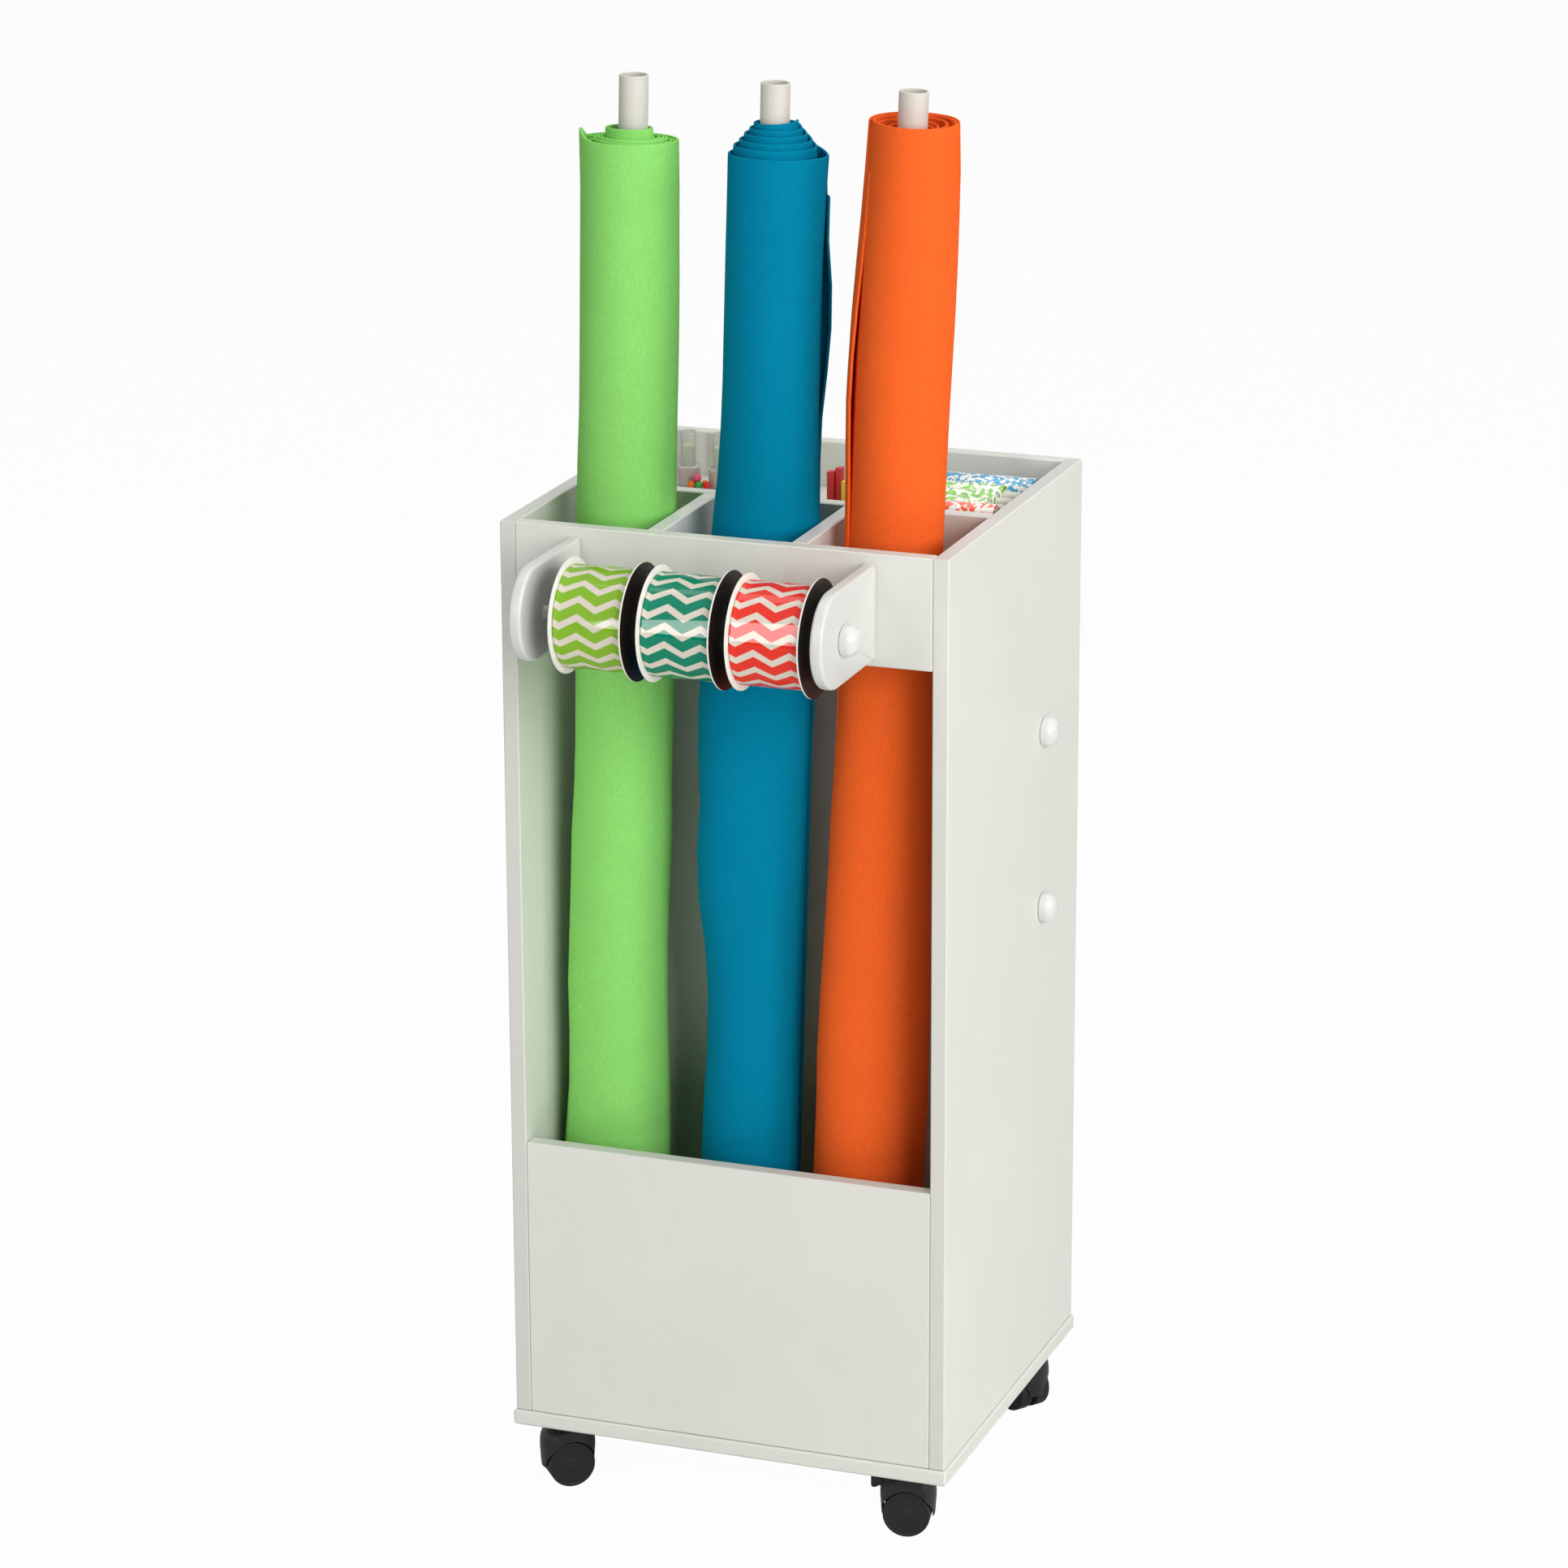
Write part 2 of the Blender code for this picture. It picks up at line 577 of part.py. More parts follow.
def felt_roll(name, colour, radius, slot, foot_offset, lean, top, rise, layers, seam, swells):
    """One roll: a tube and the felt wound on it, both leaning from a foot on the base board.

    The felt's top climbs in one step a layer from its rim to the tube.
    """
    turn = Matrix.Rotation(math.radians(lean), 3, "Y")
    seam = math.radians(seam)
    sink = radius * math.sin(math.radians(lean)) + SEAT
    middle = INNER_LEFT + (slot + 1 / 2) * SLOT_WIDTH + slot * BOARD
    place = Vector((middle + foot_offset, FRONT + ROLL_BACK, BASE_TOP + sink))
    length = (top - sink) / math.cos(math.radians(lean))
    tube_length = (TUBE_TOP - sink) / math.cos(math.radians(lean))
    tube = [(TUBE_RADIUS - TUBE_WALL, 0), (TUBE_RADIUS, 0), (TUBE_RADIUS, tube_length),
            (TUBE_RADIUS - TUBE_WALL, tube_length)]
    tube_shape = turned_shape(tube, ROD_SIDES, closed=True)
    add("felt_tube_" + name, tube_shape, TUBE_WHITE, 0.4, place=place, turn=turn)

    def stand_off(angle, height):
        share = height / length
        return sum(out * bump(angle, share, math.radians(at), math.radians(spread), low, high)
                   for at, spread, low, high, out in swells)

    bore = (TUBE_RADIUS + SEAT) / math.cos(math.pi / ROLL_SIDES)
    core = radius - FELT
    tread = (core - bore) / (layers + 1)
    rings = [ring_points(bore, 0, seam, ROLL_SIDES, 0), ring_points(core, 0, seam, ROLL_SIDES, 0)]
    for share in ROLL_RING_SHARES:
        rings.append(ring_points(radius, FELT_SEAM, seam, ROLL_SIDES, share * length, stand_off))
    rings.append(ring_points(radius - FELT / 3, FELT_SEAM, seam, ROLL_SIDES, length))
    for layer in range(layers):
        edge = core - layer * tread
        low, high = length + rise * layer / layers, length + rise * (layer + 1) / layers
        rings.append(ring_points(edge, FELT / 2, seam, ROLL_SIDES, low - FELT / 2))
        rings.append(ring_points(edge - tread / 3, FELT / 2, seam, ROLL_SIDES, high))
    rings.append(ring_points(bore, 0, seam, ROLL_SIDES, length + rise))
    add("felt_roll_" + name, looped_shape(rings), colour, 0.95, place=place, turn=turn)


def felt_rolls():
    """One roll in each slot, counted from the left."""
    felt_roll("green", (0.22, 0.68, 0.10), GREEN_RADIUS, 0, GREEN_FOOT_OFFSET, GREEN_LEAN, GREEN_TOP,
              GREEN_RISE, GREEN_LAYERS, GREEN_SEAM, GREEN_SWELLS)
    felt_roll("blue", (0.0, 0.20, 0.40), BLUE_RADIUS, 1, BLUE_FOOT_OFFSET, BLUE_LEAN, BLUE_TOP,
              BLUE_RISE, BLUE_LAYERS, BLUE_SEAM, BLUE_SWELLS)
    felt_roll("orange", (0.90, 0.11, 0.02), ORANGE_RADIUS, 2, ORANGE_FOOT_OFFSET, ORANGE_LEAN, ORANGE_TOP,
              ORANGE_RISE, ORANGE_LAYERS, ORANGE_SEAM, ORANGE_SWELLS)


def hood_profile():
    """A bell about the upright line through the middle of the axle, from its ears up."""
    rise = HOOD_TOP - EAR_BOTTOM
    shares = zip(HOOD_RADIUS_SHARES, HOOD_HEIGHT_SHARES)
    outside = [(HOOD_RADIUS * out, EAR_BOTTOM + rise * up) for out, up in shares]
    return [(0, EAR_BOTTOM)] + outside + [(0, HOOD_TOP)]


def caster(name, x, y, turn_degrees, trail, lever=False):
    """One hooded twin-wheel caster. Its swivel line is the stem, and its axle lies off it by the trail.

    In the hood's own frame the axle runs along Y and the trail is along X. The turn is about the stem.
    """
    turn = Matrix.Rotation(math.radians(turn_degrees), 3, "Z")
    stem = Vector((x, y, 0))
    centre = stem + turn @ Vector((trail, 0, 0))
    axle = centre + Vector((0, 0, WHEEL_RADIUS))
    add("caster_stem_" + name, turned_shape(stem_profile(), SMALL_SIDES), STEEL, 0.35, 1.0, place=stem)
    low, high = Vector((x, y, BASE_BOTTOM - OVERRUN)), Vector((x, y, BASE_TOP + OVERRUN))
    holes["base_board"].append(rod_shape(low, high, STEM_RADIUS + SEAT, SMALL_SIDES))

    bell = moved(turned_shape(hood_profile(), HOOD_SIDES), (trail, 0, 0))
    hood = add("caster_hood_" + name, bell, DARK_PLASTIC, 0.45, place=stem, turn=turn)
    boss = rod_shape((-trail, 0, HOOD_TOP - OVERLAP), (-trail, 0, HOOD_BOSS_TOP), HOOD_BOSS_RADIUS, ROD_SIDES)
    join(hood, [moved(boss, centre, turn)])
    cut(hood, [moved(shape, centre, turn) for shape in hood_spaces(trail, lever)])
    reach = HOOD_WEB / 2 + RUN + WHEEL_WIDTH - AXLE_INSET
    join(hood, [moved(rod_shape((0, -reach, 0), (0, reach, 0), AXLE_RADIUS, SMALL_SIDES), axle, turn)])
    if lever:
        add_lever(centre, turn)

    for side, way in (("outer", -1), ("inner", 1)):
        wheel = moved(turned_shape(wheel_profile(), WHEEL_SIDES), turn=turn_to((0, way, 0)))
        add("caster_wheel_" + name + "_" + side, wheel, DARK_PLASTIC, 0.5, place=axle, turn=turn)


def stem_profile():
    """A shaft from the hood's socket up into the base board, with a collar between the two."""
    collar_low, collar_high = HOOD_BOSS_TOP + SEAT, BASE_BOTTOM - SEAT
    top = BASE_TOP - STEM_TOP_INSET
    return [(0, STEM_SHAFT_BOTTOM), (STEM_RADIUS, STEM_SHAFT_BOTTOM), (STEM_RADIUS, collar_low),
            (STEM_COLLAR_RADIUS, collar_low), (STEM_COLLAR_RADIUS, collar_high), (STEM_RADIUS, collar_high),
            (STEM_RADIUS, top), (0, top)]


def wheel_profile():
    """A wheel beside the hood's web, with a blind bore for the axle. Its flats stand on the floor."""
    inner = HOOD_WEB / 2 + RUN
    outer = inner + WHEEL_WIDTH
    bore, bore_end = AXLE_RADIUS + RUN, outer - AXLE_INSET + RUN
    tread = WHEEL_RADIUS / math.cos(math.pi / WHEEL_SIDES)
    return [(0, bore_end), (bore, bore_end), (bore, inner), (tread, inner), (tread, outer - WHEEL_ROUND),
            (tread - WHEEL_ROUND, outer), (0, outer)]


def hood_spaces(trail, lever):
    """What is taken out of a hood: room for both wheels, the gaps behind its ears, the stem's socket."""
    room = WHEEL_RADIUS + HOOD_WHEEL_GAP
    half_web = HOOD_WEB / 2
    side = HOOD_RADIUS + OVERRUN
    spaces = []
    for way in (-1, 1):
        start, end = (0, way * half_web, WHEEL_RADIUS), (0, way * side, WHEEL_RADIUS)
        spaces.append(rod_shape(start, end, room, WHEEL_SIDES))
        low, high = sorted((way * AXLE_BOSS_RADIUS, way * (room - OVERLAP)))
        spaces.append(box_shape((low, -HOOD_WEB, EAR_BOTTOM - OVERRUN), (high, HOOD_WEB, EAR_SLOT_TOP)))
    socket_low, socket_high = STEM_SHAFT_BOTTOM - SEAT, HOOD_BOSS_TOP + OVERRUN
    spaces.append(rod_shape((-trail, 0, socket_low), (-trail, 0, socket_high), STEM_RADIUS + RUN, ROD_SIDES))
    return spaces + (lever_room() if lever else [])


def lever_outline():
    """The lever from its hub out to a taller thumb tab, in the hood's frame as (outwards, height)."""
    arm, tab = LEVER_ARM / 2, LEVER_TAB / 2
    hub = LEVER_PIVOT_OUT - LEVER_HUB_RADIUS
    edge = HOOD_RADIUS + RUN
    slope = edge + (LEVER_REACH - edge) * LEVER_SLOPE_SHARE
    return [(hub, LEVER_CORNER - arm), (hub + LEVER_CORNER, -arm), (edge, -arm), (slope, -tab),
            (LEVER_REACH - LEVER_CORNER, -tab), (LEVER_REACH, LEVER_CORNER - tab),
            (LEVER_REACH, tab - LEVER_CORNER), (LEVER_REACH - LEVER_CORNER, tab), (edge, tab), (edge, arm),
            (hub + LEVER_CORNER, arm), (hub, arm - LEVER_CORNER)]


def lever_shape():
    """The lever's arm along -X of the hood, with its pivot at the origin."""
    points = [(out - LEVER_PIVOT_OUT, height) for out, height in lever_outline()]
    arm = extruded_shape(points, -LEVER_WIDTH / 2, LEVER_WIDTH / 2)
    return moved(arm, turn=Matrix.Rotation(math.pi / 2, 3, "Z"))


def lever_room():
    """Where the lever swings inside the hood, and the bores for its pivot pin."""
    inner = LEVER_PIVOT_OUT - LEVER_HUB_RADIUS - LEVER_ROOM
    half_width = LEVER_WIDTH / 2 + RUN
    half_height = LEVER_ARM / 2 + LEVER_ROOM
    pin_reach = half_width + LEVER_PIN_REACH
    swing = box_shape((-HOOD_RADIUS - OVERRUN, -half_width, LEVER_PIVOT_HEIGHT - half_height),
                      (-inner, half_width, LEVER_PIVOT_HEIGHT + half_height))
    start = (-LEVER_PIVOT_OUT, -pin_reach, LEVER_PIVOT_HEIGHT)
    end = (-LEVER_PIVOT_OUT, pin_reach, LEVER_PIVOT_HEIGHT)
    return [swing, rod_shape(start, end, LEVER_PIN_RADIUS + RUN, SMALL_SIDES)]


def add_lever(centre, turn):
    pivot = centre + turn @ Vector((-LEVER_PIVOT_OUT, 0, LEVER_PIVOT_HEIGHT))
    lever = add("brake_lever", lever_shape(), DARK_PLASTIC, 0.45, place=pivot, turn=turn)
    reach = LEVER_WIDTH / 2 + LEVER_PIN_REACH
    join(lever, [moved(rod_shape((0, -reach, 0), (0, reach, 0), LEVER_PIN_RADIUS, SMALL_SIDES), pivot, turn)])


def casters():
    """The front pair trails to one side and the rear pair to the other, as it was last rolled."""
    left, right = LEFT + CASTER_INSET_X, RIGHT - CASTER_INSET_X
    front, back = FRONT + CASTER_INSET_Y, BACK - CASTER_INSET_Y
    caster("front_left", left, front, LEFT_CASTER_TURN, -CASTER_TRAIL)
    caster("front_right", right, front, RIGHT_CASTER_TURN, -CASTER_TRAIL, lever=True)
    caster("rear_left", left, back, REAR_CASTER_TURN, CASTER_TRAIL)
    caster("rear_right", right, back, REAR_CASTER_TURN, CASTER_TRAIL)


def tray_supplies():
    """Jars, pom-poms, sticks and printed paper rolls, all standing or lying on the tray's floor."""
    floor = TRAY_FLOOR + SEAT
    for side, step in (("left", 0), ("right", 1)):
        place = (LEFT + JAR_X + step * JAR_PITCH, BACK - JAR_FROM_BACK, floor)
        jar = turned_shape(jar_profile(), JAR_SIDES)
        add("clear_jar_" + side, jar, JAR_GREY, 0.1, place=place, alpha=0.4)
    pom_poms(floor)
    half_width, half_depth = STICK_WIDTH / 2, STICK_DEPTH / 2
    sticks = []
    for k, height in enumerate((STICK_HEIGHT - STICK_STEP, STICK_HEIGHT)):
        x = LEFT + STICK_X + k * (STICK_WIDTH - OVERLAP)
        y = FRONT + STICK_Y + k * half_depth
        low, high = (x - half_width, y - half_depth, floor), (x + half_width, y + half_depth, floor + height)
        sticks.append(box_shape(low, high))
    join(add("red_sticks", sticks[0], (0.6, 0.02, 0.02), 0.4, smooth=False), sticks[1:])
    paper_rolls(floor)


def jar_profile():
    """A wide cup, a narrower neck and an open rim."""
    rim = JAR_RIM_RADIUS
    return [(0, 0), (JAR_RADIUS - JAR_WALL, 0), (JAR_RADIUS, JAR_WALL), (JAR_RADIUS, JAR_CUP_HEIGHT),
            (JAR_NECK_RADIUS, JAR_CUP_HEIGHT), (JAR_NECK_RADIUS, JAR_NECK_TOP), (rim, JAR_NECK_TOP),
            (rim, JAR_HEIGHT), (rim - JAR_WALL, JAR_HEIGHT), (rim - 2 * JAR_WALL, JAR_NECK_TOP),
            (0, JAR_NECK_TOP)]


def pom_poms(floor):
    """A small heap of pom-poms between the jars, each pressed a little into the next."""
    step = 2 * POM_RADIUS - POM_SQUEEZE
    x = LEFT + JAR_X + JAR_PITCH / 2
    y = BACK - JAR_FROM_BACK - JAR_RADIUS - POM_RADIUS
    row = [(x + (k - (POM_COUNT - 1) / 2) * step, y, floor + POM_RADIUS) for k in range(POM_COUNT)]
    row += [(x, y + step * math.cos(math.pi / 6), floor + POM_RADIUS)]
    balls = []
    for place in row:
        ball = bmesh.new()
        bmesh.ops.create_icosphere(ball, subdivisions=2, radius=POM_RADIUS)
        balls.append(moved(ball, place))
    join(add("pom_poms", balls[0], (0.85, 0.12, 0.08), 0.95), balls[1:])


def paper_rolls(floor):
    """Green rolls in a lower row and in dips above it, an orange one in the first dip, a blue one behind."""
    right = INNER_RIGHT - PAPER_ROLL_END_GAP
    left = right - PAPER_ROLL_LENGTH
    pitch = 2 * LOWER_PAPER_RADIUS - PAPER_SQUEEZE
    first = MIDDLE_BACK + LOWER_PAPER_RADIUS + SEAT
    low_z = floor + LOWER_PAPER_RADIUS
    green = []
    for k in range(LOWER_PAPER_COUNT):
        start, end = (left, first + k * pitch, low_z), (right, first + k * pitch, low_z)
        green.append(rod_shape(start, end, LOWER_PAPER_RADIUS, PAPER_SIDES))
    pressed = LOWER_PAPER_RADIUS + UPPER_PAPER_RADIUS - PAPER_SQUEEZE
    resting = (LOWER_PAPER_RADIUS + UPPER_PAPER_RADIUS) * math.cos(math.pi / PAPER_SIDES) + SEAT
    z = low_z + math.sqrt(pressed ** 2 - (pitch / 2) ** 2)
    for k in range(1, LOWER_PAPER_COUNT - 1):
        y = first + (k + 1 / 2) * pitch
        roll = paper_roll(left, right - PAPER_TUBE_REACH, y, z, UPPER_PAPER_RADIUS, PAPER_TUBE_REACH)
        green.append(roll)
    join(add("printed_rolls_green", green[0], (0.45, 0.72, 0.30), 0.5), green[1:])
    z = low_z + math.sqrt(resting ** 2 - (pitch / 2) ** 2)
    orange = paper_roll(left, right, first + pitch / 2 - RUN, z, UPPER_PAPER_RADIUS)
    add("printed_roll_orange", orange, (0.85, 0.35, 0.20), 0.5)
    back_y = first + (LOWER_PAPER_COUNT - 1) * pitch + LOWER_PAPER_RADIUS + BACK_PAPER_RADIUS + RUN
    blue = paper_roll(left, right, back_y, floor + BACK_PAPER_RADIUS, BACK_PAPER_RADIUS)
    add("printed_roll_blue", blue, (0.40, 0.70, 0.85), 0.5)


def paper_roll(left, right, y, z, radius, reach=0):
    """A roll along X with an open tube, which sticks out of its right end by the reach."""
    end = right - left + reach
    profile = [(0, 0), (radius, 0), (radius, right - left)]
    if reach:
        profile += [(PAPER_TUBE_RADIUS, right - left), (PAPER_TUBE_RADIUS, end)]
    bottom = end - PAPER_TUBE_BORE_DEPTH
    profile += [(PAPER_TUBE_BORE, end), (PAPER_TUBE_BORE, bottom), (0, bottom)]
    return moved(turned_shape(profile, PAPER_SIDES), (left, y, z), turn_to((1, 0, 0)))


def rear_dowels():
    y = FRONT + REAR_DOWEL_BACK
    for name, height in (("upper", UPPER_DOWEL_HEIGHT), ("lower", LOWER_DOWEL_HEIGHT)):
        z = BASE_TOP + height
        dowel("rear_dowel_" + name, "rear_cap_" + name, WIDTH / 2, y, z, REAR_DOWEL_RADIUS)
        for side, way in (("left", -1), ("right", 1)):
            start, end = way * (WIDTH / 2 + OVERRUN), way * (WIDTH / 2 - BOARD - OVERRUN)
            hole = rod_shape((start, y, z), (end, y, z), REAR_DOWEL_RADIUS + RUN, ROD_SIDES)
            holes["side_panel_" + side].append(hole)


def main():
    clear_scene()
    pieces = make_boards()
    joint_pins()
    pieces.update(ribbon_holder())
    spools()
    rear_dowels()
    felt_rolls()
    casters()
    tray_supplies()
    for name, piece in pieces.items():
        if name in pins:
            join(piece, pins[name])
        if name in holes:
            cut(piece, holes[name])


main()
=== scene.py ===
"""Looks for a craft storage cart: finishes for its boards, and finer pieces round its fixed CAD frame."""

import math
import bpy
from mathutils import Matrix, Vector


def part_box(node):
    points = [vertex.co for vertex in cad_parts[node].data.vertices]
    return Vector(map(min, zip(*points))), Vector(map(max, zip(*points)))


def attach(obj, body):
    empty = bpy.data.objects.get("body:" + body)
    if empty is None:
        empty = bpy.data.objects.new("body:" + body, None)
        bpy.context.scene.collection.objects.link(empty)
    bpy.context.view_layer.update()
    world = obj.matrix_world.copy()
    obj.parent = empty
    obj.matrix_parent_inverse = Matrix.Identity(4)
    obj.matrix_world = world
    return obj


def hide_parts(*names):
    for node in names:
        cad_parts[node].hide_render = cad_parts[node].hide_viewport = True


bl_info = {
    "name": "Craft Storage Cart",
    "version": (1, 0, 0),
    "blender": (4, 5, 0),
    "location": "View3D > Sidebar > Craft Cart",
    "description": "Builds the visible pieces, finishes, light and camera of a craft storage cart",
    "category": "Object",
}

import bmesh
import bpy
import numpy as np
from mathutils import Matrix

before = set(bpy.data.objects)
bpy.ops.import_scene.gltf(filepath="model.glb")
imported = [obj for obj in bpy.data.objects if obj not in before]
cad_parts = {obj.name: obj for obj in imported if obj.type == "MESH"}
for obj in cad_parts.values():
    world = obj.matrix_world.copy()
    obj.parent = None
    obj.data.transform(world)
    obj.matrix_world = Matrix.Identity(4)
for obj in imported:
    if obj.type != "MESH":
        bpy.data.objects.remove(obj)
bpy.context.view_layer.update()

# Cabinet, in metres
FRONT, RIGHT = -0.1085, 0.181
BASE_BOTTOM, BASE_TOP, PANEL_TOP = 0.0585, 0.071, 0.808
TRAY_FLOOR = 0.771
SEAT = 0.0003

# Ribbon holder and spools
BRACKET_HALF = 0.124
BRACKET_THICKNESS = 0.010
BRACKET_HEIGHT = 0.074
BRACKET_TOP = 0.8005
BRACKET_REACH = 0.122
ROD_Y, ROD_Z = -0.1825, 0.7608
ROD_RADIUS = 0.00475
REAR_ROD_Y = 0.1335
REAR_ROD_RADIUS = 0.00635
REAR_ROD_HEIGHTS = {"upper": 0.608, "lower": 0.461}
CAP_RADIUS, CAP_LENGTH, CAP_RIM, CAP_SOCKET = 0.012, 0.0125, 0.004, 0.008
SPOOL_WIDTH = 0.0585
SPOOL_STARTS = {"green": -0.09375, "teal": -0.02375, "red": 0.04625}
SPOOL_Z = 0.76025
SPOOL_BORE, SPOOL_BARREL, FLANGE_RADIUS, DISC_RADIUS, FLANGE = 0.0056, 0.009, 0.044, 0.045, 0.0016
RIBBON_RADIUS, RIBBON_STEP, RIBBON_SEAM = 0.0395, 0.0008, 4.517
ZIGZAG_WIDTH, ZIGZAG_SHIFT, ZIGZAG_HEIGHT, ZIGZAG_SPACING, ZIGZAG_LINE = 0.0284, 0.0071, 0.0078, 0.0142, 0.0056
RIBBON_HEM, RIB_PITCH = 0.0012, 0.0011

# Casters
WHEEL_RADIUS, WHEEL_WIDTH, WHEEL_ROUND = 0.019, 0.0118, 0.0016
HOOD_WEB, HOOD_RADIUS, HOOD_TOP, HOOD_BOSS_TOP, HOOD_BOSS_RADIUS = 0.0046, 0.0226, 0.049, 0.0525, 0.009
HOOD_RADIUS_SHARES = np.array((0.945, 0.975, 1.0, 0.97, 0.86, 0.66))
HOOD_HEIGHT_SHARES = np.array((0.0, 0.30, 0.53, 0.79, 0.93, 1.0))
WHEEL_ROOM = 0.0203
HOOD_HALF = 0.0158
EAR_BOTTOM, EAR_SLOT_TOP, AXLE_BOSS = 0.0158, 0.0245, 0.006
STEM_RADIUS, COLLAR_RADIUS, STEM_BOTTOM = 0.004, 0.0085, 0.0425
RUN = 0.0004
CASTERS = {
    "front_left": (-0.146, -0.0725, 39.0, -0.006),
    "front_right": (0.146, -0.0725, 11.0, -0.006),
    "rear_left": (-0.146, 0.1925, -35.0, 0.006),
    "rear_right": (0.146, 0.1925, -35.0, 0.006),
}
LEVER_CASTER = "front_right"
LEVER_WIDTH, LEVER_ARM, LEVER_TAB, LEVER_REACH = 0.011, 0.0062, 0.0095, 0.0295
LEVER_PIVOT_OUT, LEVER_PIVOT_HEIGHT, LEVER_EDGE = 0.0165, 0.0418, 0.0011

# Felt
TUBE_RADIUS, TUBE_WALL, TUBE_TOP, TUBE_SEAM_PITCH = 0.0112, 0.0016, 1.073, 0.085
ROLL_Y = -0.034
TILT_TURN = 0.363
STRAIGHT = ((0, 0), (1, 0))

# Tray
JAR_Y = 0.1835
JAR_XS = {"left": -0.1385, "right": -0.111}
JAR_WALL, JAR_CUP, JAR_NECK, JAR_RIM, JAR_ROOM = 0.0009, 0.0096, 0.0062, 0.0067, 0.0003
JAR_CUP_TOP, JAR_NECK_TOP, JAR_TOP = 0.0165, 0.037, 0.0445
POM_RADIUS = 0.0033
STICK_SHIFT, STICK_DEPTH, STICK_STEP = 0.0015, 0.0075, 0.0025
YELLOW_WIDTH, YELLOW_DROP = 0.0034, 0.010
LOWER_PAPER, UPPER_PAPER, BACK_PAPER = 0.010728, 0.0100128, 0.0175224
PAPER_PRESS, PAPER_REACH, PAPER_COUNT = 0.0011, 0.013, 5
PAPER_BORE, PAPER_TUBE, PAPER_TUBE_BORE = 0.0056, 0.0055, 0.0045
PRINT_CELL = 0.0085

# Stage: each softbox's place, target, width and height, and the camera as it was solved from the photograph
SOFTBOXES = {
    "strip": ((-1.09, -3.2, 1.95), (0, -0.1, 0.75), 0.28, 3.2),
    "key": ((2.9, -2.6, 2.0), (0, -0.1, 0.6), 2.0, 2.4),
    "side": ((3.6, -0.4, 1.9), (0.1, 0, 0.6), 1.8, 2.2),
    "top": ((0.2, 0.6, 3.6), (0, 0, 0.8), 2.4, 2.4),
}
FLOOR_REACH = 40.0
FLOOR_GLOW = 0.97
FLOOR_TONES = ((0.82, 0.82, 0.81), (0.84, 0.84, 0.83))
CAMERA_PLACE = (1.4134, -3.8288, 1.8448)
CAMERA_YAW, CAMERA_PITCH, CAMERA_ROLL = 0.3513, 0.2996, -0.0036
FOCAL_PIXELS, PHOTO_PIXELS, SENSOR_WIDTH = 6717.1, 1932, 36.0

ALONG_X = np.array(((0, 0, 1), (1, 0, 0), (0, 1, 0)), float)
UPRIGHT = np.eye(3)


def along_y(way):
    """Axes that lay a piece's own Z along Y, forwards or backwards by the way's sign."""
    return np.array(((1, 0, 0), (0, 0, way), (0, -way, 0)), float)


# Surfaces


def soften(profile, radius, closed=False, count=5):
    """Rounds a profile's corners. Each corner becomes the curve (1-t)^2 start + 2t(1-t) corner + t^2 end, from a
    start short of the corner to an end past it, with t from 0 to 1."""
    corner = np.asarray(profile, float)
    radius = np.reshape(radius, (-1, 1)) * np.ones((len(corner), 1))

    def towards(other):
        step = other - corner
        length = np.maximum(np.linalg.norm(step, axis=1, keepdims=True), 1e-9)
        return corner + step * np.minimum(radius / length, 0.49)

    start, end = towards(np.roll(corner, 1, 0))[:, None], towards(np.roll(corner, -1, 0))[:, None]
    t = np.linspace(0, 1, count)[None, :, None]
    points = ((1 - t) ** 2 * start + 2 * t * (1 - t) * corner[:, None] + t ** 2 * end).reshape(-1, 2)
    if closed:
        return np.vstack([points, points[:1]])
    return np.vstack([corner[:1], points[count:-count], corner[-1:]])


def turned(profile, steps=64):
    """A profile of (radius, height) turned about Z: the point is (r cos a, r sin a, h), with a round the circle."""
    radius, height = np.asarray(profile, float).T
    angle = np.linspace(0, 2 * math.pi, steps + 1)
    return np.stack([radius[:, None] * np.cos(angle), radius[:, None] * np.sin(angle),
                     height[:, None] * np.ones(steps + 1)], -1)


def plate(outline, depth, edge, count=5):
    """A closed outline given a depth and rounded edges: point = outline - inset * outward normal, with inset and
    height on a quarter circle at each edge, and a pole in the middle of both faces."""
    outline = np.asarray(outline, float)
    ring = outline[:-1]
    along = np.roll(ring, -1, 0) - np.roll(ring, 1, 0)
    normal = np.stack([along[:, 1], -along[:, 0]], 1)
    normal /= np.maximum(np.linalg.norm(normal, axis=1, keepdims=True), 1e-9)
    turn = np.sign(np.sum(ring[:, 0] * np.roll(ring[:, 1], -1) - ring[:, 1] * np.roll(ring[:, 0], -1)))
    normal = np.vstack([normal, normal[:1]]) * turn
    phase = np.linspace(0, math.pi / 2, count)
    inset = edge * (1 - np.sin(phase))
    height = edge * (1 - np.cos(phase))
    inset = np.concatenate([inset, inset[::-1]])
    height = np.concatenate([height, depth - height[::-1]])
    flat = outline[None] - inset[:, None, None] * normal[None]
    sides = np.concatenate([flat, height[:, None, None] * np.ones((1, len(outline), 1))], 2)
    middle = ring.mean(0)
    low = np.concatenate([middle, [0.0]]) * np.ones((1, len(outline), 3))
    high = np.concatenate([middle, [depth]]) * np.ones((1, len(outline), 3))
    return np.concatenate([low, sides, high])


def box_surface(low, high, edge):
    """A rounded box: a plate whose outline is a rounded rectangle."""
    (x0, y0, z0), (x1, y1, z1) = low, high
    outline = soften([(x0, y0), (x1, y0), (x1, y1), (x0, y1)], edge, closed=True)
    return plate(outline, z1 - z0, edge) + np.array([0, 0, z0])


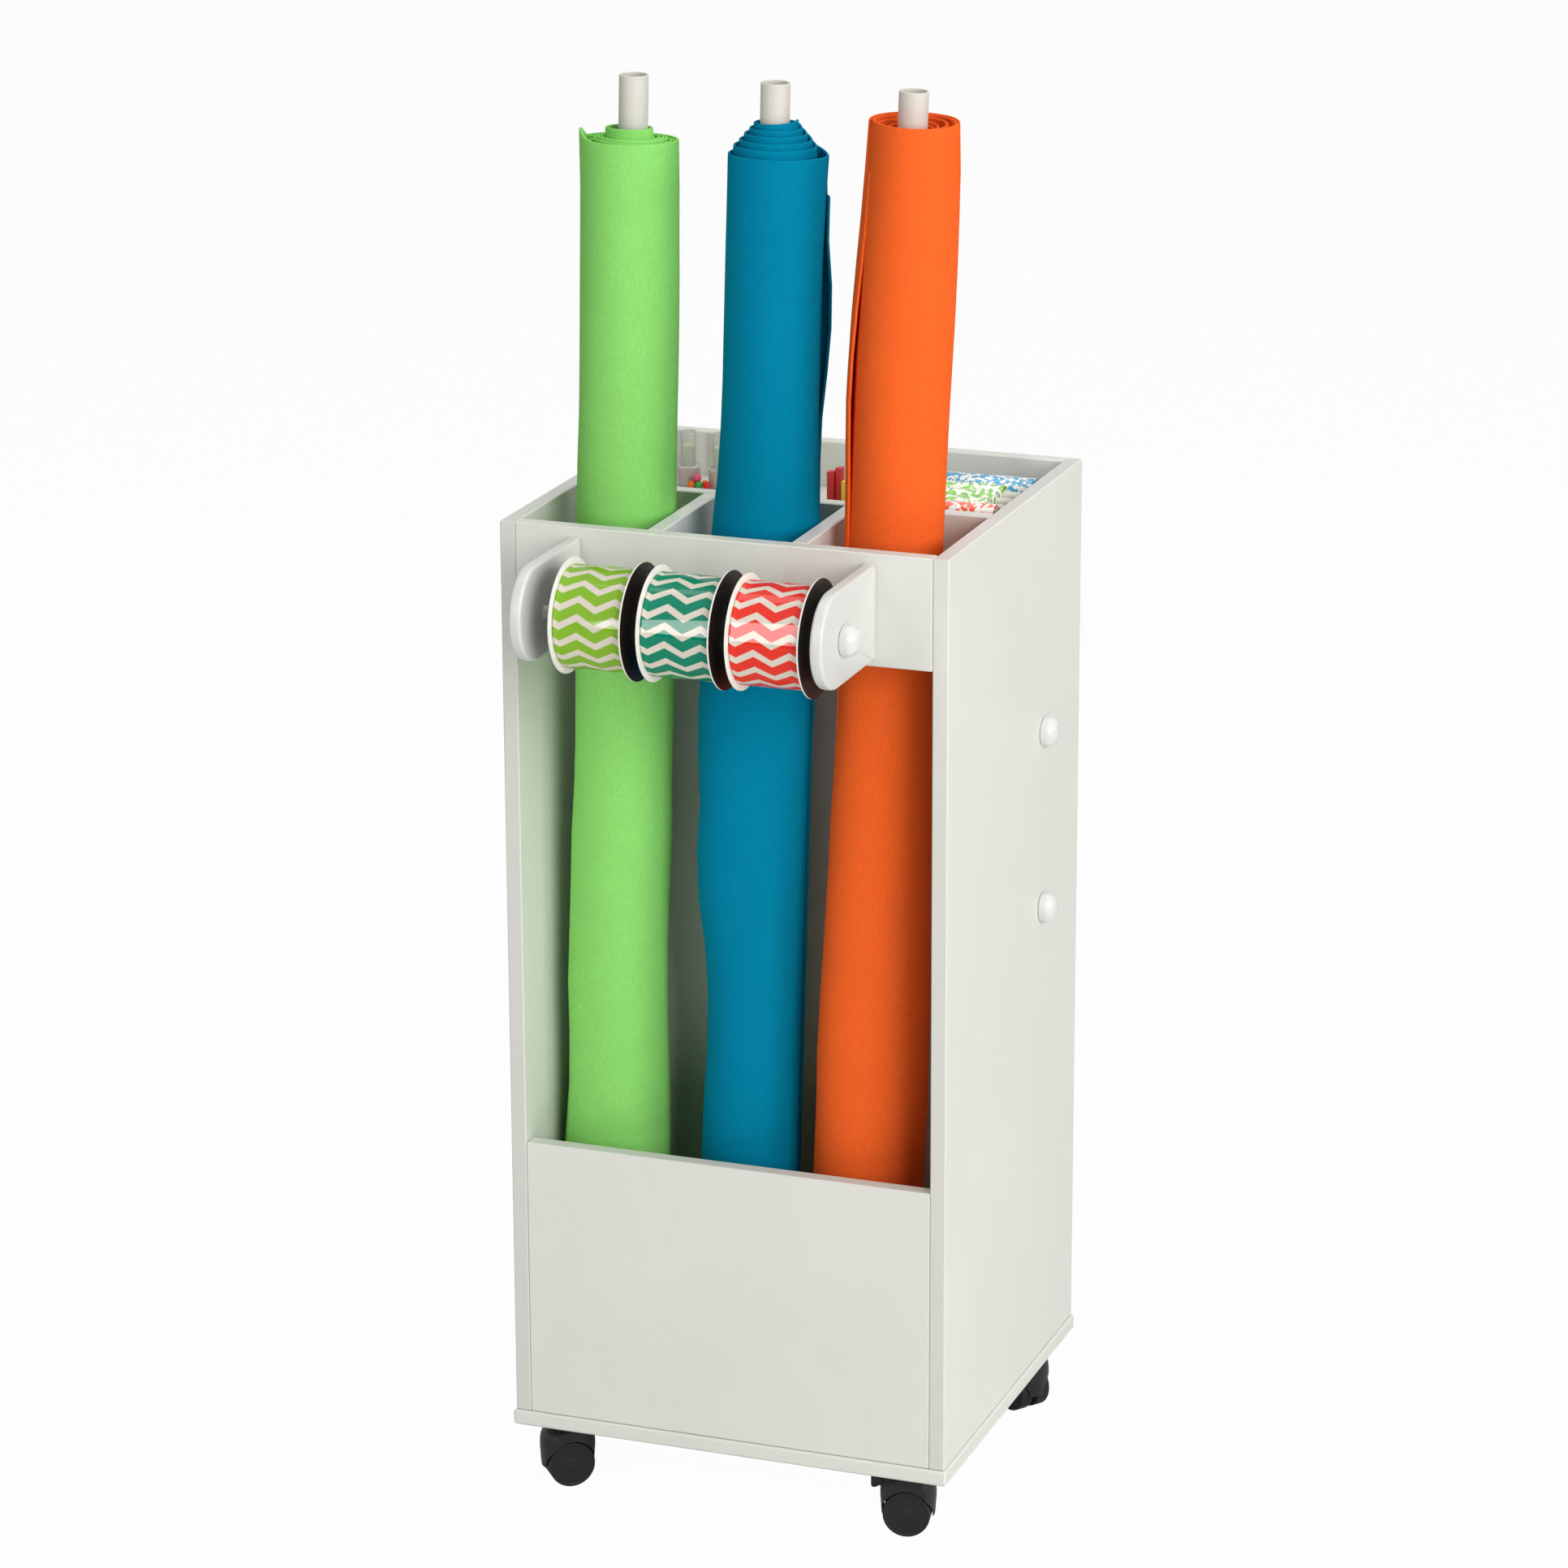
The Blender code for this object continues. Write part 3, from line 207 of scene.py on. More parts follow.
def placed(points, place, axes=UPRIGHT):
    """Carries points from a piece's own frame to the cart's: place + axes . point."""
    return points @ np.asarray(axes).T + np.asarray(place)


def put_in(name, grids, finishes, sharp=40.0):
    """Makes one piece from closed grids of points, and merges each grid's repeated seam and poles.

    A grid is (points, settings), where settings may hold "uv", one pair a point, and "slot", one number a face.
    Its faces join neighbouring rows and columns, and run the way round that makes its enclosed volume positive.
    """
    corners, quads, marks, slots, first = [], [], [], [], 0
    for points, settings in grids:
        uv = settings.get("uv", np.zeros(points.shape[:2] + (2,)))
        slot = np.broadcast_to(settings.get("slot", 0), (points.shape[0] - 1, points.shape[1] - 1))
        about = points - points.reshape(-1, 3).mean(0)
        a, b, c, d = about[:-1, :-1], about[:-1, 1:], about[1:, 1:], about[1:, :-1]
        if (np.cross(b, c) * a).sum() + (np.cross(c, d) * a).sum() < 0:
            points, uv, slot = points[:, ::-1], uv[:, ::-1], slot[:, ::-1]
        index = first + np.arange(points.shape[0] * points.shape[1]).reshape(points.shape[:2])
        quads.append(np.stack([index[:-1, :-1], index[:-1, 1:], index[1:, 1:], index[1:, :-1]], -1).reshape(-1, 4))
        corners.append(points.reshape(-1, 3))
        marks.append(uv.reshape(-1, 2))
        slots.append(slot.reshape(-1))
        first += len(corners[-1])
    corners, quads = np.concatenate(corners), np.concatenate(quads)
    mesh = bpy.data.meshes.new(name)
    mesh.vertices.add(len(corners))
    mesh.vertices.foreach_set("co", corners.ravel())
    mesh.loops.add(quads.size)
    mesh.loops.foreach_set("vertex_index", quads.ravel())
    mesh.polygons.add(len(quads))
    mesh.polygons.foreach_set("loop_start", np.arange(len(quads)) * 4)
    mesh.polygons.foreach_set("material_index", np.concatenate(slots).astype(np.int32))
    mesh.update(calc_edges=True)
    plan = mesh.uv_layers.new(name="plan")
    plan.data.foreach_set("uv", np.concatenate(marks)[quads.ravel()].ravel())
    shell = bmesh.new()
    shell.from_mesh(mesh)
    bmesh.ops.remove_doubles(shell, verts=shell.verts[:], dist=2e-6)
    shell.to_mesh(mesh)
    shell.free()
    mesh.shade_smooth()
    mesh.set_sharp_from_angle(angle=math.radians(sharp))
    piece = bpy.data.objects.new(name, mesh)
    bpy.context.collection.objects.link(piece)
    for finish in finishes:
        mesh.materials.append(finish.material)
    return piece


def stand_for(piece, body, slot, *nodes):
    """Ties a finished piece to its body, its material slot and the CAD nodes that it stands for."""
    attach(piece, body)
    if nodes:
        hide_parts(*nodes)


# Finishes


def ink(red, green, blue):
    """A colour seen as (red, green, blue) out of 255 on a screen, as the linear colour that a shader takes."""
    seen = np.array((red, green, blue)) / 255
    return tuple(float(c) for c in np.where(seen <= 0.04045, seen / 12.92, ((seen + 0.055) / 1.055) ** 2.4))


class Value:
    """A socket of a node tree, on which sums are written as on a number."""

    def __init__(self, nodes, socket):
        self.nodes = nodes
        self.socket = socket

    def math(self, operation, *inputs):
        return self.nodes.node("ShaderNodeMath", {"operation": operation}, inputs)

    def __add__(self, other):
        return self.math("ADD", self, other)

    __radd__ = __add__

    def __sub__(self, other):
        return self.math("SUBTRACT", self, other)

    def __rsub__(self, other):
        return self.math("SUBTRACT", other, self)

    def __mul__(self, other):
        return self.math("MULTIPLY", self, other)

    __rmul__ = __mul__

    def __truediv__(self, other):
        return self.math("DIVIDE", self, other)

    def fraction(self):
        return self.math("FRACT", self)

    def size(self):
        return self.math("ABSOLUTE", self)

    def wave(self):
        return self.math("SINE", self)

    def most(self, other):
        return self.math("MAXIMUM", self, other)

    def step(self, low, high):
        """0 below low, 1 above high and a smooth rise between."""
        return self.nodes.node("ShaderNodeMapRange", {"interpolation_type": "SMOOTHSTEP"}, {0: self, 1: low, 2: high})


class Nodes:
    """A node tree, and the one way in which nodes are added to it and linked."""

    def __init__(self, tree):
        self.tree = tree

    def join(self, socket, value):
        """Sets a socket, or links a value to it."""
        if isinstance(value, Value):
            self.tree.links.new(value.socket, socket)
        else:
            socket.default_value = value

    def node(self, kind, settings=None, inputs=(), output=0):
        """Adds a node of a type: first its settings, then its sockets' values or links. Gives one output."""
        made = self.tree.nodes.new(kind)
        for key, value in (settings or {}).items():
            setattr(made, key, value)
        for key, value in (inputs.items() if isinstance(inputs, dict) else enumerate(inputs)):
            self.join(made.inputs[key], value)
        return Value(self, made.outputs[output])


class Finish(Nodes):
    """A material and the nodes that feed its Principled shader."""

    def __init__(self, name, colour, roughness=0.5, **constants):
        self.material = bpy.data.materials.new(name)
        self.material.use_nodes = True
        self.material.diffuse_color = (*colour, 1)
        super().__init__(self.material.node_tree)
        self.shader = self.tree.nodes["Principled BSDF"]
        self.feed("Base Color", (*colour, 1))
        self.feed("Roughness", roughness)
        for socket, value in constants.items():
            self.feed(socket.replace("_", " ").title().replace("Ior", "IOR"), value)

    def feed(self, socket, value):
        """Sets one of the shader's sockets, or links a value to it."""
        self.join(self.shader.inputs[socket], value)

    def where(self, stretch=(1, 1, 1)):
        """The place on the piece in metres, stretched along each axis."""
        place = self.node("ShaderNodeTexCoord", output="Object")
        return self.node("ShaderNodeMapping", inputs={"Vector": place, "Scale": stretch})

    def plan(self, output=0):
        """The two numbers of the piece's own map: 0 is across, 1 is along."""
        spot = self.node("ShaderNodeUVMap", {"uv_map": "plan"})
        return self.node("ShaderNodeSeparateXYZ", inputs=[spot], output=output)

    def noise(self, scale, detail=2.0, roughness=0.5, stretch=(1, 1, 1)):
        return self.node("ShaderNodeTexNoise", inputs={
            "Vector": self.where(stretch), "Scale": scale, "Detail": detail, "Roughness": roughness})

    def mix(self, mask, low, high):
        """A colour from low to high as the mask goes from 0 to 1."""
        low = low if isinstance(low, Value) else (*low, 1)
        high = high if isinstance(high, Value) else (*high, 1)
        return self.node("ShaderNodeMix", {"data_type": "RGBA"}, {0: mask, 6: low, 7: high}, output=2)

    def bump(self, height, distance, strength=1.0):
        """Raises the surface by the height, of which 1 is the distance in metres."""
        bump = self.node("ShaderNodeBump", inputs={"Height": height, "Distance": distance, "Strength": strength})
        self.feed("Normal", bump)


def shade(colour, factor):
    return tuple(min(1.0, c * factor) for c in colour)


def board_finish(name, colour, edges=()):
    """Smooth satin paint on board: faint clouds of tone, a few fine dust specks, and a fine roller texture. The
    narrow faces at the given (axis, place) take paint less well and are a little darker."""
    finish = Finish(name, colour, 0.42, specular_ior_level=0.4)
    clouds = finish.noise(9.0, 3.0, 0.6)
    roller = finish.noise(1400.0, 2.0)
    tone = finish.mix(clouds.step(0.35, 0.7), shade(colour, 0.985), shade(colour, 1.012))
    specks = finish.noise(2600.0, 0.0).step(0.80, 0.84)
    tone = finish.mix(specks * 0.35, tone, shade(colour, 0.82))
    for axis, place in edges:
        away = finish.node("ShaderNodeSeparateXYZ", inputs=[finish.where()], output=axis) - place
        tone = finish.mix(1 - away.size().step(0.0003, 0.0005), tone, shade(colour, 0.90))
    finish.feed("Base Color", tone)
    finish.feed("Roughness", 0.38 + clouds * 0.08 + roller * 0.05)
    finish.bump(roller * 0.5 + finish.noise(240.0, 2.0), 0.00006, 0.6)
    return finish


def painted_wood(name, colour, grain=(14, 260, 260)):
    """Paint over turned wood: the grain along the rod shows through as fine long streaks."""
    finish = Finish(name, colour, 0.45)
    streaks = finish.noise(5.0, 4.0, 0.6, grain)
    finish.feed("Base Color", finish.mix(streaks.step(0.3, 0.75), shade(colour, 0.955), shade(colour, 1.01)))
    finish.feed("Roughness", 0.40 + streaks * 0.14)
    finish.bump(streaks, 0.00008, 0.7)
    return finish


def moulded_plastic(name, colour, roughness, variation=0.05, texture=1800.0, depth=0.00003, **constants):
    """Moulded plastic: a slight unevenness of gloss and a fine spark-eroded grain."""
    finish = Finish(name, colour, roughness, **constants)
    patches = finish.noise(60.0, 3.0)
    grain = finish.noise(texture, 1.0)
    finish.feed("Base Color", finish.mix(patches, shade(colour, 1 - variation), shade(colour, 1 + variation)))
    finish.feed("Roughness", roughness - 0.06 + patches * 0.12)
    finish.bump(grain * 0.7 + patches * 0.3, depth)
    return finish


def card_finish(name, colour):
    """Pressed card: short fibres in the surface."""
    finish = Finish(name, colour, 0.72)
    fibres = finish.noise(900.0, 4.0, 0.65)
    finish.feed("Base Color", finish.mix(fibres.step(0.3, 0.7), shade(colour, 0.93), shade(colour, 1.03)))
    finish.bump(fibres, 0.00006, 0.6)
    return finish


def tube_finish(name, colour):
    """A spirally wound paper tube: one faint seam winds up it, over fine fibres."""
    finish = Finish(name, colour, 0.55)
    seam = ((finish.plan(1) / TUBE_SEAM_PITCH + finish.plan(0)).fraction() - 0.5).size()
    fibres = finish.noise(700.0, 4.0, 0.6)
    tone = finish.mix(fibres.step(0.3, 0.7), shade(colour, 0.965), shade(colour, 1.01))
    line = 1 - seam.step(0.0, 0.012)
    finish.feed("Base Color", finish.mix(line * 0.35, tone, shade(colour, 0.7)))
    finish.bump(fibres * 0.25 - line * 0.5, 0.0001, 0.8)
    return finish


def felt_finish(name, colour):
    """Needled felt: matted fibres in slightly lighter and darker wisps."""
    finish = Finish(name, colour, 0.95, specular_ior_level=0.05)
    wisps = finish.noise(420.0, 5.0, 0.7, (1.0, 1.0, 0.55))
    fibres = finish.noise(1700.0, 3.0, 0.7, (1.0, 1.0, 0.4))
    clouds = finish.noise(38.0, 3.0, 0.6)
    base = finish.mix(clouds.step(0.3, 0.7), shade(colour, 0.97), shade(colour, 1.03))
    mottled = finish.mix(wisps.step(0.36, 0.64), shade(colour, 0.93), base)
    finish.feed("Base Color", finish.mix(fibres.step(0.5, 0.75) * 0.5, mottled, shade(colour, 1.08)))
    finish.bump(wisps * 0.6 + fibres * 0.4, 0.0003, 0.6)
    return finish


def ribbon_finish(name, colour, pale):
    """Grosgrain ribbon with a zigzag, under clear film. The map's across and along are in metres."""
    finish = Finish(name, colour, 0.6, specular_ior_level=0.0, coat_weight=0.6, coat_roughness=0.03, coat_ior=1.45)
    across, along = finish.plan(0), finish.plan(1)
    zigzag = (((across + ZIGZAG_SHIFT) / ZIGZAG_WIDTH).fraction() - 0.5).size() * 2
    phase = ((along + zigzag * ZIGZAG_HEIGHT) / ZIGZAG_SPACING).fraction()
    off = (phase - 0.5).size()
    half = ZIGZAG_LINE / ZIGZAG_SPACING / 2
    line = 1 - off.step(half - 0.02, half + 0.02)
    ribs = (along * (2 * math.pi / RIB_PITCH)).wave()
    threads = finish.noise(1800.0, 2.0)
    ground = finish.mix(threads.step(0.3, 0.7), shade(colour, 0.9), shade(colour, 1.08))
    finish.feed("Base Color", finish.mix(line, ground, pale))
    finish.bump(ribs * 0.5 + threads * 0.5, 0.0001, 0.7)
    return finish


def paper_finish(name, colour, pale, second):
    """Printed wrapping paper with a generic scatter of blotches and a lattice of dots. The map is in metres."""
    finish = Finish(name, pale, 0.38, coat_weight=0.3, coat_roughness=0.2)
    across = (finish.plan(0) / PRINT_CELL).fraction() - 0.5
    along = (finish.plan(1) / PRINT_CELL).fraction() - 0.5
    dot = 1 - (across.size() + along.size()).step(0.10, 0.14)
    blotches = finish.noise(230.0, 1.0, 0.4).step(0.49, 0.52)
    fibres = finish.noise(1200.0, 3.0)
    ground = finish.mix(fibres * 0.3, pale, shade(pale, 0.92))
    finish.feed("Base Color", finish.mix(dot, finish.mix(blotches, ground, colour), second))
    finish.bump(fibres, 0.00003)
    return finish


# Settings


def colour_setting(name, description, *seen):
    return bpy.props.FloatVectorProperty(
        name=name, description=description, subtype="COLOR", size=3, min=0, max=1, default=ink(*seen))


def length_setting(name, description, default):
    return bpy.props.FloatProperty(name=name, description=description, unit="LENGTH", min=0, default=default)


def power_setting(name, description, default):
    return bpy.props.FloatProperty(name=name, description=description, unit="POWER", min=0, default=default)


class CartColours(bpy.types.PropertyGroup):
    """Colours of the cart and of what it holds."""

    board: colour_setting("Boards", "Satin paint of the boards", 224, 224, 217)
    bracket: colour_setting("Brackets", "Painted brackets of the ribbon holder", 214, 214, 209)
    cap: colour_setting("Caps", "Plastic caps on the rods", 222, 222, 218)
    tube: colour_setting("Tubes", "Paper tubes inside the felt", 211, 207, 197)
    caster: colour_setting("Casters", "Black plastic of hoods and wheels", 38, 36, 37)
    card: colour_setting("Spool card", "Edges and inner faces of the spools", 238, 236, 228)
    disc: colour_setting("Spool disc", "Dark outer faces of the spools", 30, 22, 20)
    pale: colour_setting("Zigzag", "Pale zigzag of the ribbons", 218, 209, 194)
    ribbon_green: colour_setting("Lime ribbon", "Ground of the left ribbon", 132, 182, 40)
    ribbon_teal: colour_setting("Teal ribbon", "Ground of the middle ribbon", 0, 130, 100)
    ribbon_red: colour_setting("Red ribbon", "Ground of the right ribbon", 230, 50, 35)
    felt_green: colour_setting("Green felt", "Left roll of felt", 142, 218, 111)
    felt_blue: colour_setting("Blue felt", "Middle roll of felt", 0, 128, 163)
    felt_orange: colour_setting("Orange felt", "Right roll of felt", 243, 101, 40)


class CartSizes(bpy.types.PropertyGroup):
    """Sizes of details that the CAD frame leaves to the looks."""

    felt: length_setting("Felt thickness", "Thickness of the felt", 0.0022)
    bracket_edge: length_setting("Bracket edge", "Radius of the brackets' rounded edges", 0.0026)
    flange_edge: length_setting("Spool edge", "Radius of the spools' card edges", 0.0004)
    hood_edge: length_setting("Hood edge", "Radius of the hoods' edges", 0.0004)


class StageSettings(bpy.types.PropertyGroup):
    """Light on the cart."""

    world: bpy.props.FloatProperty(
        name="World", description="Strength of the even light", subtype="FACTOR", min=0, max=1, default=0.09)
    strip: power_setting("Strip", "Power of the tall narrow softbox at the front left", 37.5)
    key: power_setting("Key", "Power of the softbox at the front right", 100.0)
    side: power_setting("Side", "Power of the softbox at the right", 42.0)
    top: power_setting("Top", "Power of the softbox above", 52.0)


# Cabinet


class CART_OT_boards(bpy.types.Operator):
    """Finish the boards of the cabinet, which keep their CAD shapes"""

    bl_idname = "cart.boards"
    bl_label = "Boards"

    def execute(self, context):
        colour = context.scene.cart_colours.board
        paint = board_finish("satin board paint", colour)
        edged = board_finish("satin panel paint", colour, ((1, FRONT), (2, PANEL_TOP)))
        for node in ("base_board", "side_panel_left", "side_panel_right", "front_rail", "lower_front_panel",
                     "middle_panel", "slot_divider_left", "slot_divider_right", "back_rail", "tray_floor"):
            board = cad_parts[node]
            board.data.materials.clear()
            board.data.materials.append((edged if node.startswith("side_panel") else paint).material)
        return {"FINISHED"}


def cap_surface():
    """A domed cap turned about Z: a short straight rim, then a quarter of a flattened circle up to its pole."""
    angle = np.linspace(0, math.pi / 2, 12)
    dome = np.stack([CAP_RADIUS * np.cos(angle) ** 0.9, CAP_RIM + (CAP_LENGTH - CAP_RIM) * np.sin(angle)], 1)
    dome[-1, 0] = 0
    mouth = soften([(0, 0.0004), (CAP_RADIUS - 0.0012, 0.0004), (CAP_RADIUS - 0.0010, 0), (CAP_RADIUS, 0.0002),
                    dome[0]], 0.0003)
    return turned(np.vstack([mouth[:-1], dome]), 48)


def rod_with_caps(context, name, half, y, z, radius, body, caps):
    """A rod along X through its holes, and a cap on each end."""
    colours = context.scene.cart_colours
    reach = half + SEAT + CAP_SOCKET
    paint = painted_wood(name + " paint", colours.board)
    profile = soften([(0, -reach), (radius, -reach), (radius, reach), (0, reach)], 0.0006)
    rod = put_in(name, [(placed(turned(profile, 40), (0, y, z), ALONG_X), {})], [paint])
    stand_for(rod, body, "white_wood", name.replace("rod", "dowel"))
    plastic = moulded_plastic(name + " cap plastic", colours.cap, 0.28, 0.015)
    for side, way in (("left", -1), ("right", 1)):
        cap = placed(cap_surface(), (way * (half + SEAT), y, z), ALONG_X @ np.diag([1, way, way]))
        piece = put_in(f"{caps}_{side}_dome", [(cap, {})], [plastic])
        stand_for(piece, body, "white_plastic", f"{caps}_{side}")


class CART_OT_ribbon_holder(bpy.types.Operator):
    """Make the two brackets, the ribbon rod and its caps"""

    bl_idname = "cart.ribbon_holder"
    bl_label = "Ribbon Holder"

    def execute(self, context):
        colours, sizes = context.scene.cart_colours, context.scene.cart_sizes
        paint = moulded_plastic("bracket paint", colours.bracket, 0.36, 0.012, 900.0, 0.00005)
        radius = BRACKET_HEIGHT / 2
        centre = FRONT - BRACKET_REACH + radius
        angle = np.linspace(math.pi / 2, 3 * math.pi / 2, 61)
        nose = np.stack([centre + radius * np.cos(angle), BRACKET_TOP - radius + radius * np.sin(angle)], 1)
        heel = FRONT - SEAT
        share = np.linspace(0, 1, 12)[1:-1, None]
        top = nose[0] + (np.array([heel, BRACKET_TOP]) - nose[0]) * share[::-1]
        low = nose[-1] + (np.array([heel, BRACKET_TOP - BRACKET_HEIGHT]) - nose[-1]) * share
        back = np.array([[heel, BRACKET_TOP - BRACKET_HEIGHT], [heel, BRACKET_TOP]])
        outline = np.vstack([top, nose, low, back, top[:1]])
        for side, start in (("left", -BRACKET_HALF), ("right", BRACKET_HALF - BRACKET_THICKNESS)):
            shape = placed(plate(outline, BRACKET_THICKNESS, sizes.bracket_edge, 7), (start, 0, 0), ALONG_X)
            piece = put_in("ribbon_bracket_" + side + "_board", [(shape, {})], [paint])
            stand_for(piece, "cabinet", "white_board", "ribbon_bracket_" + side)
        rod_with_caps(context, "ribbon_rod", BRACKET_HALF, ROD_Y, ROD_Z, ROD_RADIUS, "ribbon_rod", "ribbon_cap")
        return {"FINISHED"}


class CART_OT_spools(bpy.types.Operator):
    """Make the three spools and the ribbon wound on each"""

    bl_idname = "cart.spools"
    bl_label = "Spools"

    def execute(self, context):
        colours, sizes = context.scene.cart_colours, context.scene.cart_sizes
        card = card_finish("spool card", colours.card)
        dark = moulded_plastic("spool disc print", colours.disc, 0.38, 0.08, 1200.0, specular_ior_level=0.2)
        near, far = FLANGE, SPOOL_WIDTH - FLANGE
        core = soften([(SPOOL_BORE, 0), (FLANGE_RADIUS, 0), (FLANGE_RADIUS, near), (SPOOL_BARREL, near),
                       (SPOOL_BARREL, far - SEAT), (SPOOL_BORE, far - SEAT)], sizes.flange_edge, closed=True)
        disc = soften([(SPOOL_BORE, far), (DISC_RADIUS, far), (DISC_RADIUS, SPOOL_WIDTH),
                       (SPOOL_BORE, SPOOL_WIDTH)], sizes.flange_edge, closed=True)
        for colour, x in SPOOL_STARTS.items():
            place = (x, ROD_Y, SPOOL_Z)
            for part, profile, outside in (("core", core, 0.0), ("disc", disc, SPOOL_WIDTH)):
                middle = (profile[1:] + profile[:-1]) / 2
                slot = (np.abs(middle[:, 1] - outside) < 0.0002).astype(int)[:, None]
                shape = placed(turned(profile, 96), place, ALONG_X)
                piece = put_in(f"spool_{part}_{colour}_card", [(shape, {"slot": slot})], [card, dark])
                stand_for(piece, "spool_" + colour, "card" if part == "core" else "black_plastic",
                          f"spool_{part}_{colour}")
            self.ribbon(context, colour, place, near + SEAT, far - SEAT)
        return {"FINISHED"}

    def ribbon(self, context, colour, place, low, high):
        """The wound ribbon: r = outer - step (1 - a / turn), which drops back by the step where its end lies."""
        colours = context.scene.cart_colours
        finish = ribbon_finish(colour + " ribbon", getattr(colours, "ribbon_" + colour), colours.pale)
        inner = SPOOL_BARREL + SEAT
        corners = [(inner, low), (RIBBON_RADIUS, low), (RIBBON_RADIUS, low + RIBBON_HEM),
                   (RIBBON_RADIUS, high - RIBBON_HEM), (RIBBON_RADIUS, high), (inner, high)]
        profile = soften(corners, [0.0007, 0.0007, 0, 0, 0.0007, 0.0007], closed=True)
        steps = 120
        angle = np.append(np.linspace(0, 2 * math.pi, steps + 1), 0.0)
        grown = np.append(np.linspace(0, 1, steps + 1), 0.0)
        share = (profile[:, :1] - inner) / (RIBBON_RADIUS - inner)
        radius = profile[:, :1] - RIBBON_STEP * share * (1 - grown)
        turn = angle + RIBBON_SEAM
        shape = np.stack([radius * np.cos(turn), radius * np.sin(turn), profile[:, 1:] * np.ones(len(turn))], -1)
        along = np.append(np.linspace(0, 2 * math.pi, steps + 1), 2 * math.pi) * RIBBON_RADIUS
        uv = np.stack(np.broadcast_arrays(profile[:, 1:], along), -1)
        piece = put_in(f"ribbon_{colour}_wound", [(placed(shape, place, ALONG_X), {"uv": uv})], [finish], 50)
        stand_for(piece, "spool_" + colour, colour + "_ribbon", "ribbon_" + colour)


class CART_OT_rear_rods(bpy.types.Operator):
    """Make the two cross rods of the rear bay and their caps"""

    bl_idname = "cart.rear_rods"
    bl_label = "Rear Rods"

    def execute(self, context):
        for level, height in REAR_ROD_HEIGHTS.items():
            rod_with_caps(context, "rear_rod_" + level, RIGHT, REAR_ROD_Y, height, REAR_ROD_RADIUS,
                          "rear_rod_" + level, "rear_cap_" + level)
        return {"FINISHED"}


# Felt


def smooth_rise(value, low, high):
    t = np.clip((value - low) / (high - low), 0, 1)
    return t * t * (3 - 2 * t)


def wound_sheet(roll, length, thick, rows=26, steps=84):
    """A sheet wound on itself. Its middle line is the spiral r(w), a = end + way 2 pi w, with w counted in turns
    from the outer end. Its section, a thin upright strip with a round top and bottom, is carried along the spiral,
    and both ends taper to round edges. The top is at length + rise(w) - tilt (1 + sin(a - b) r / r(0)) / 2, where b
    is TILT_TURN. The winds are (w, r, rise) in turns and millimetres, and the twist is (share of the height, degrees
    that the spiral is turned by there). Gives the points and the spiral's length."""
    counted, radii, rises = np.array(roll["winds"]).T
    turns, radii, rises = counted[-1], radii / 1000, rises / 1000
    edge = np.array((0.04, 0.12, 0.26)) * thick / (2 * math.pi * radii[0])
    edge_in = turns - np.array((0.26, 0.12, 0.04)) * thick / (2 * math.pi * radii[-1])
    w = np.sort(np.concatenate([np.linspace(0, turns, int(turns * steps) + 1), edge, edge_in, counted[1:-1]]))
    w = w[np.append(True, np.diff(w) > 1e-5)]
    radius, rise = np.interp(w, counted, radii), np.interp(w, counted, rises)
    angle = math.radians(roll["end"]) + roll["way"] * 2 * math.pi * w
    away = np.minimum(w * 2 * math.pi * radii[0], (turns - w) * 2 * math.pi * radii[-1]) / (thick / 3)
    fat = np.sqrt(np.clip(1 - (1 - np.clip(away, 0, 1)) ** 2, 0, 1))
    up = np.linspace(0, 1, rows) ** 0.85
    arc = np.linspace(0, math.pi, 9)[1:-1]
    side = np.concatenate([np.ones(rows), np.cos(arc), -np.ones(rows), -np.cos(arc), [1]])[:, None]
    lift = np.concatenate([np.zeros(rows), np.sin(arc), np.zeros(rows), -np.sin(arc), [0]])[:, None]
    share = np.concatenate([up, np.ones(7), up[::-1], np.zeros(7), [0]])[:, None]
    top = length + rise - roll["tilt"] * (1 + np.sin(angle - TILT_TURN) * radius / radii[0]) / 2
    line = np.hypot(np.diff(radius), np.diff(angle) * (radius[1:] + radius[:-1]) / 2).sum()
    angle = angle + np.radians(np.interp(share, *np.array(roll.get("twist", STRAIGHT)).T))
    standing, raised = roll["push"](angle, share, w)
    height = thick / 2 + share * (top - thick) + lift * thick / 2 + raised
    r = radius + standing + side * fat * thick / 2
    return np.stack([r * np.cos(angle), r * np.sin(angle), height], -1), float(line)


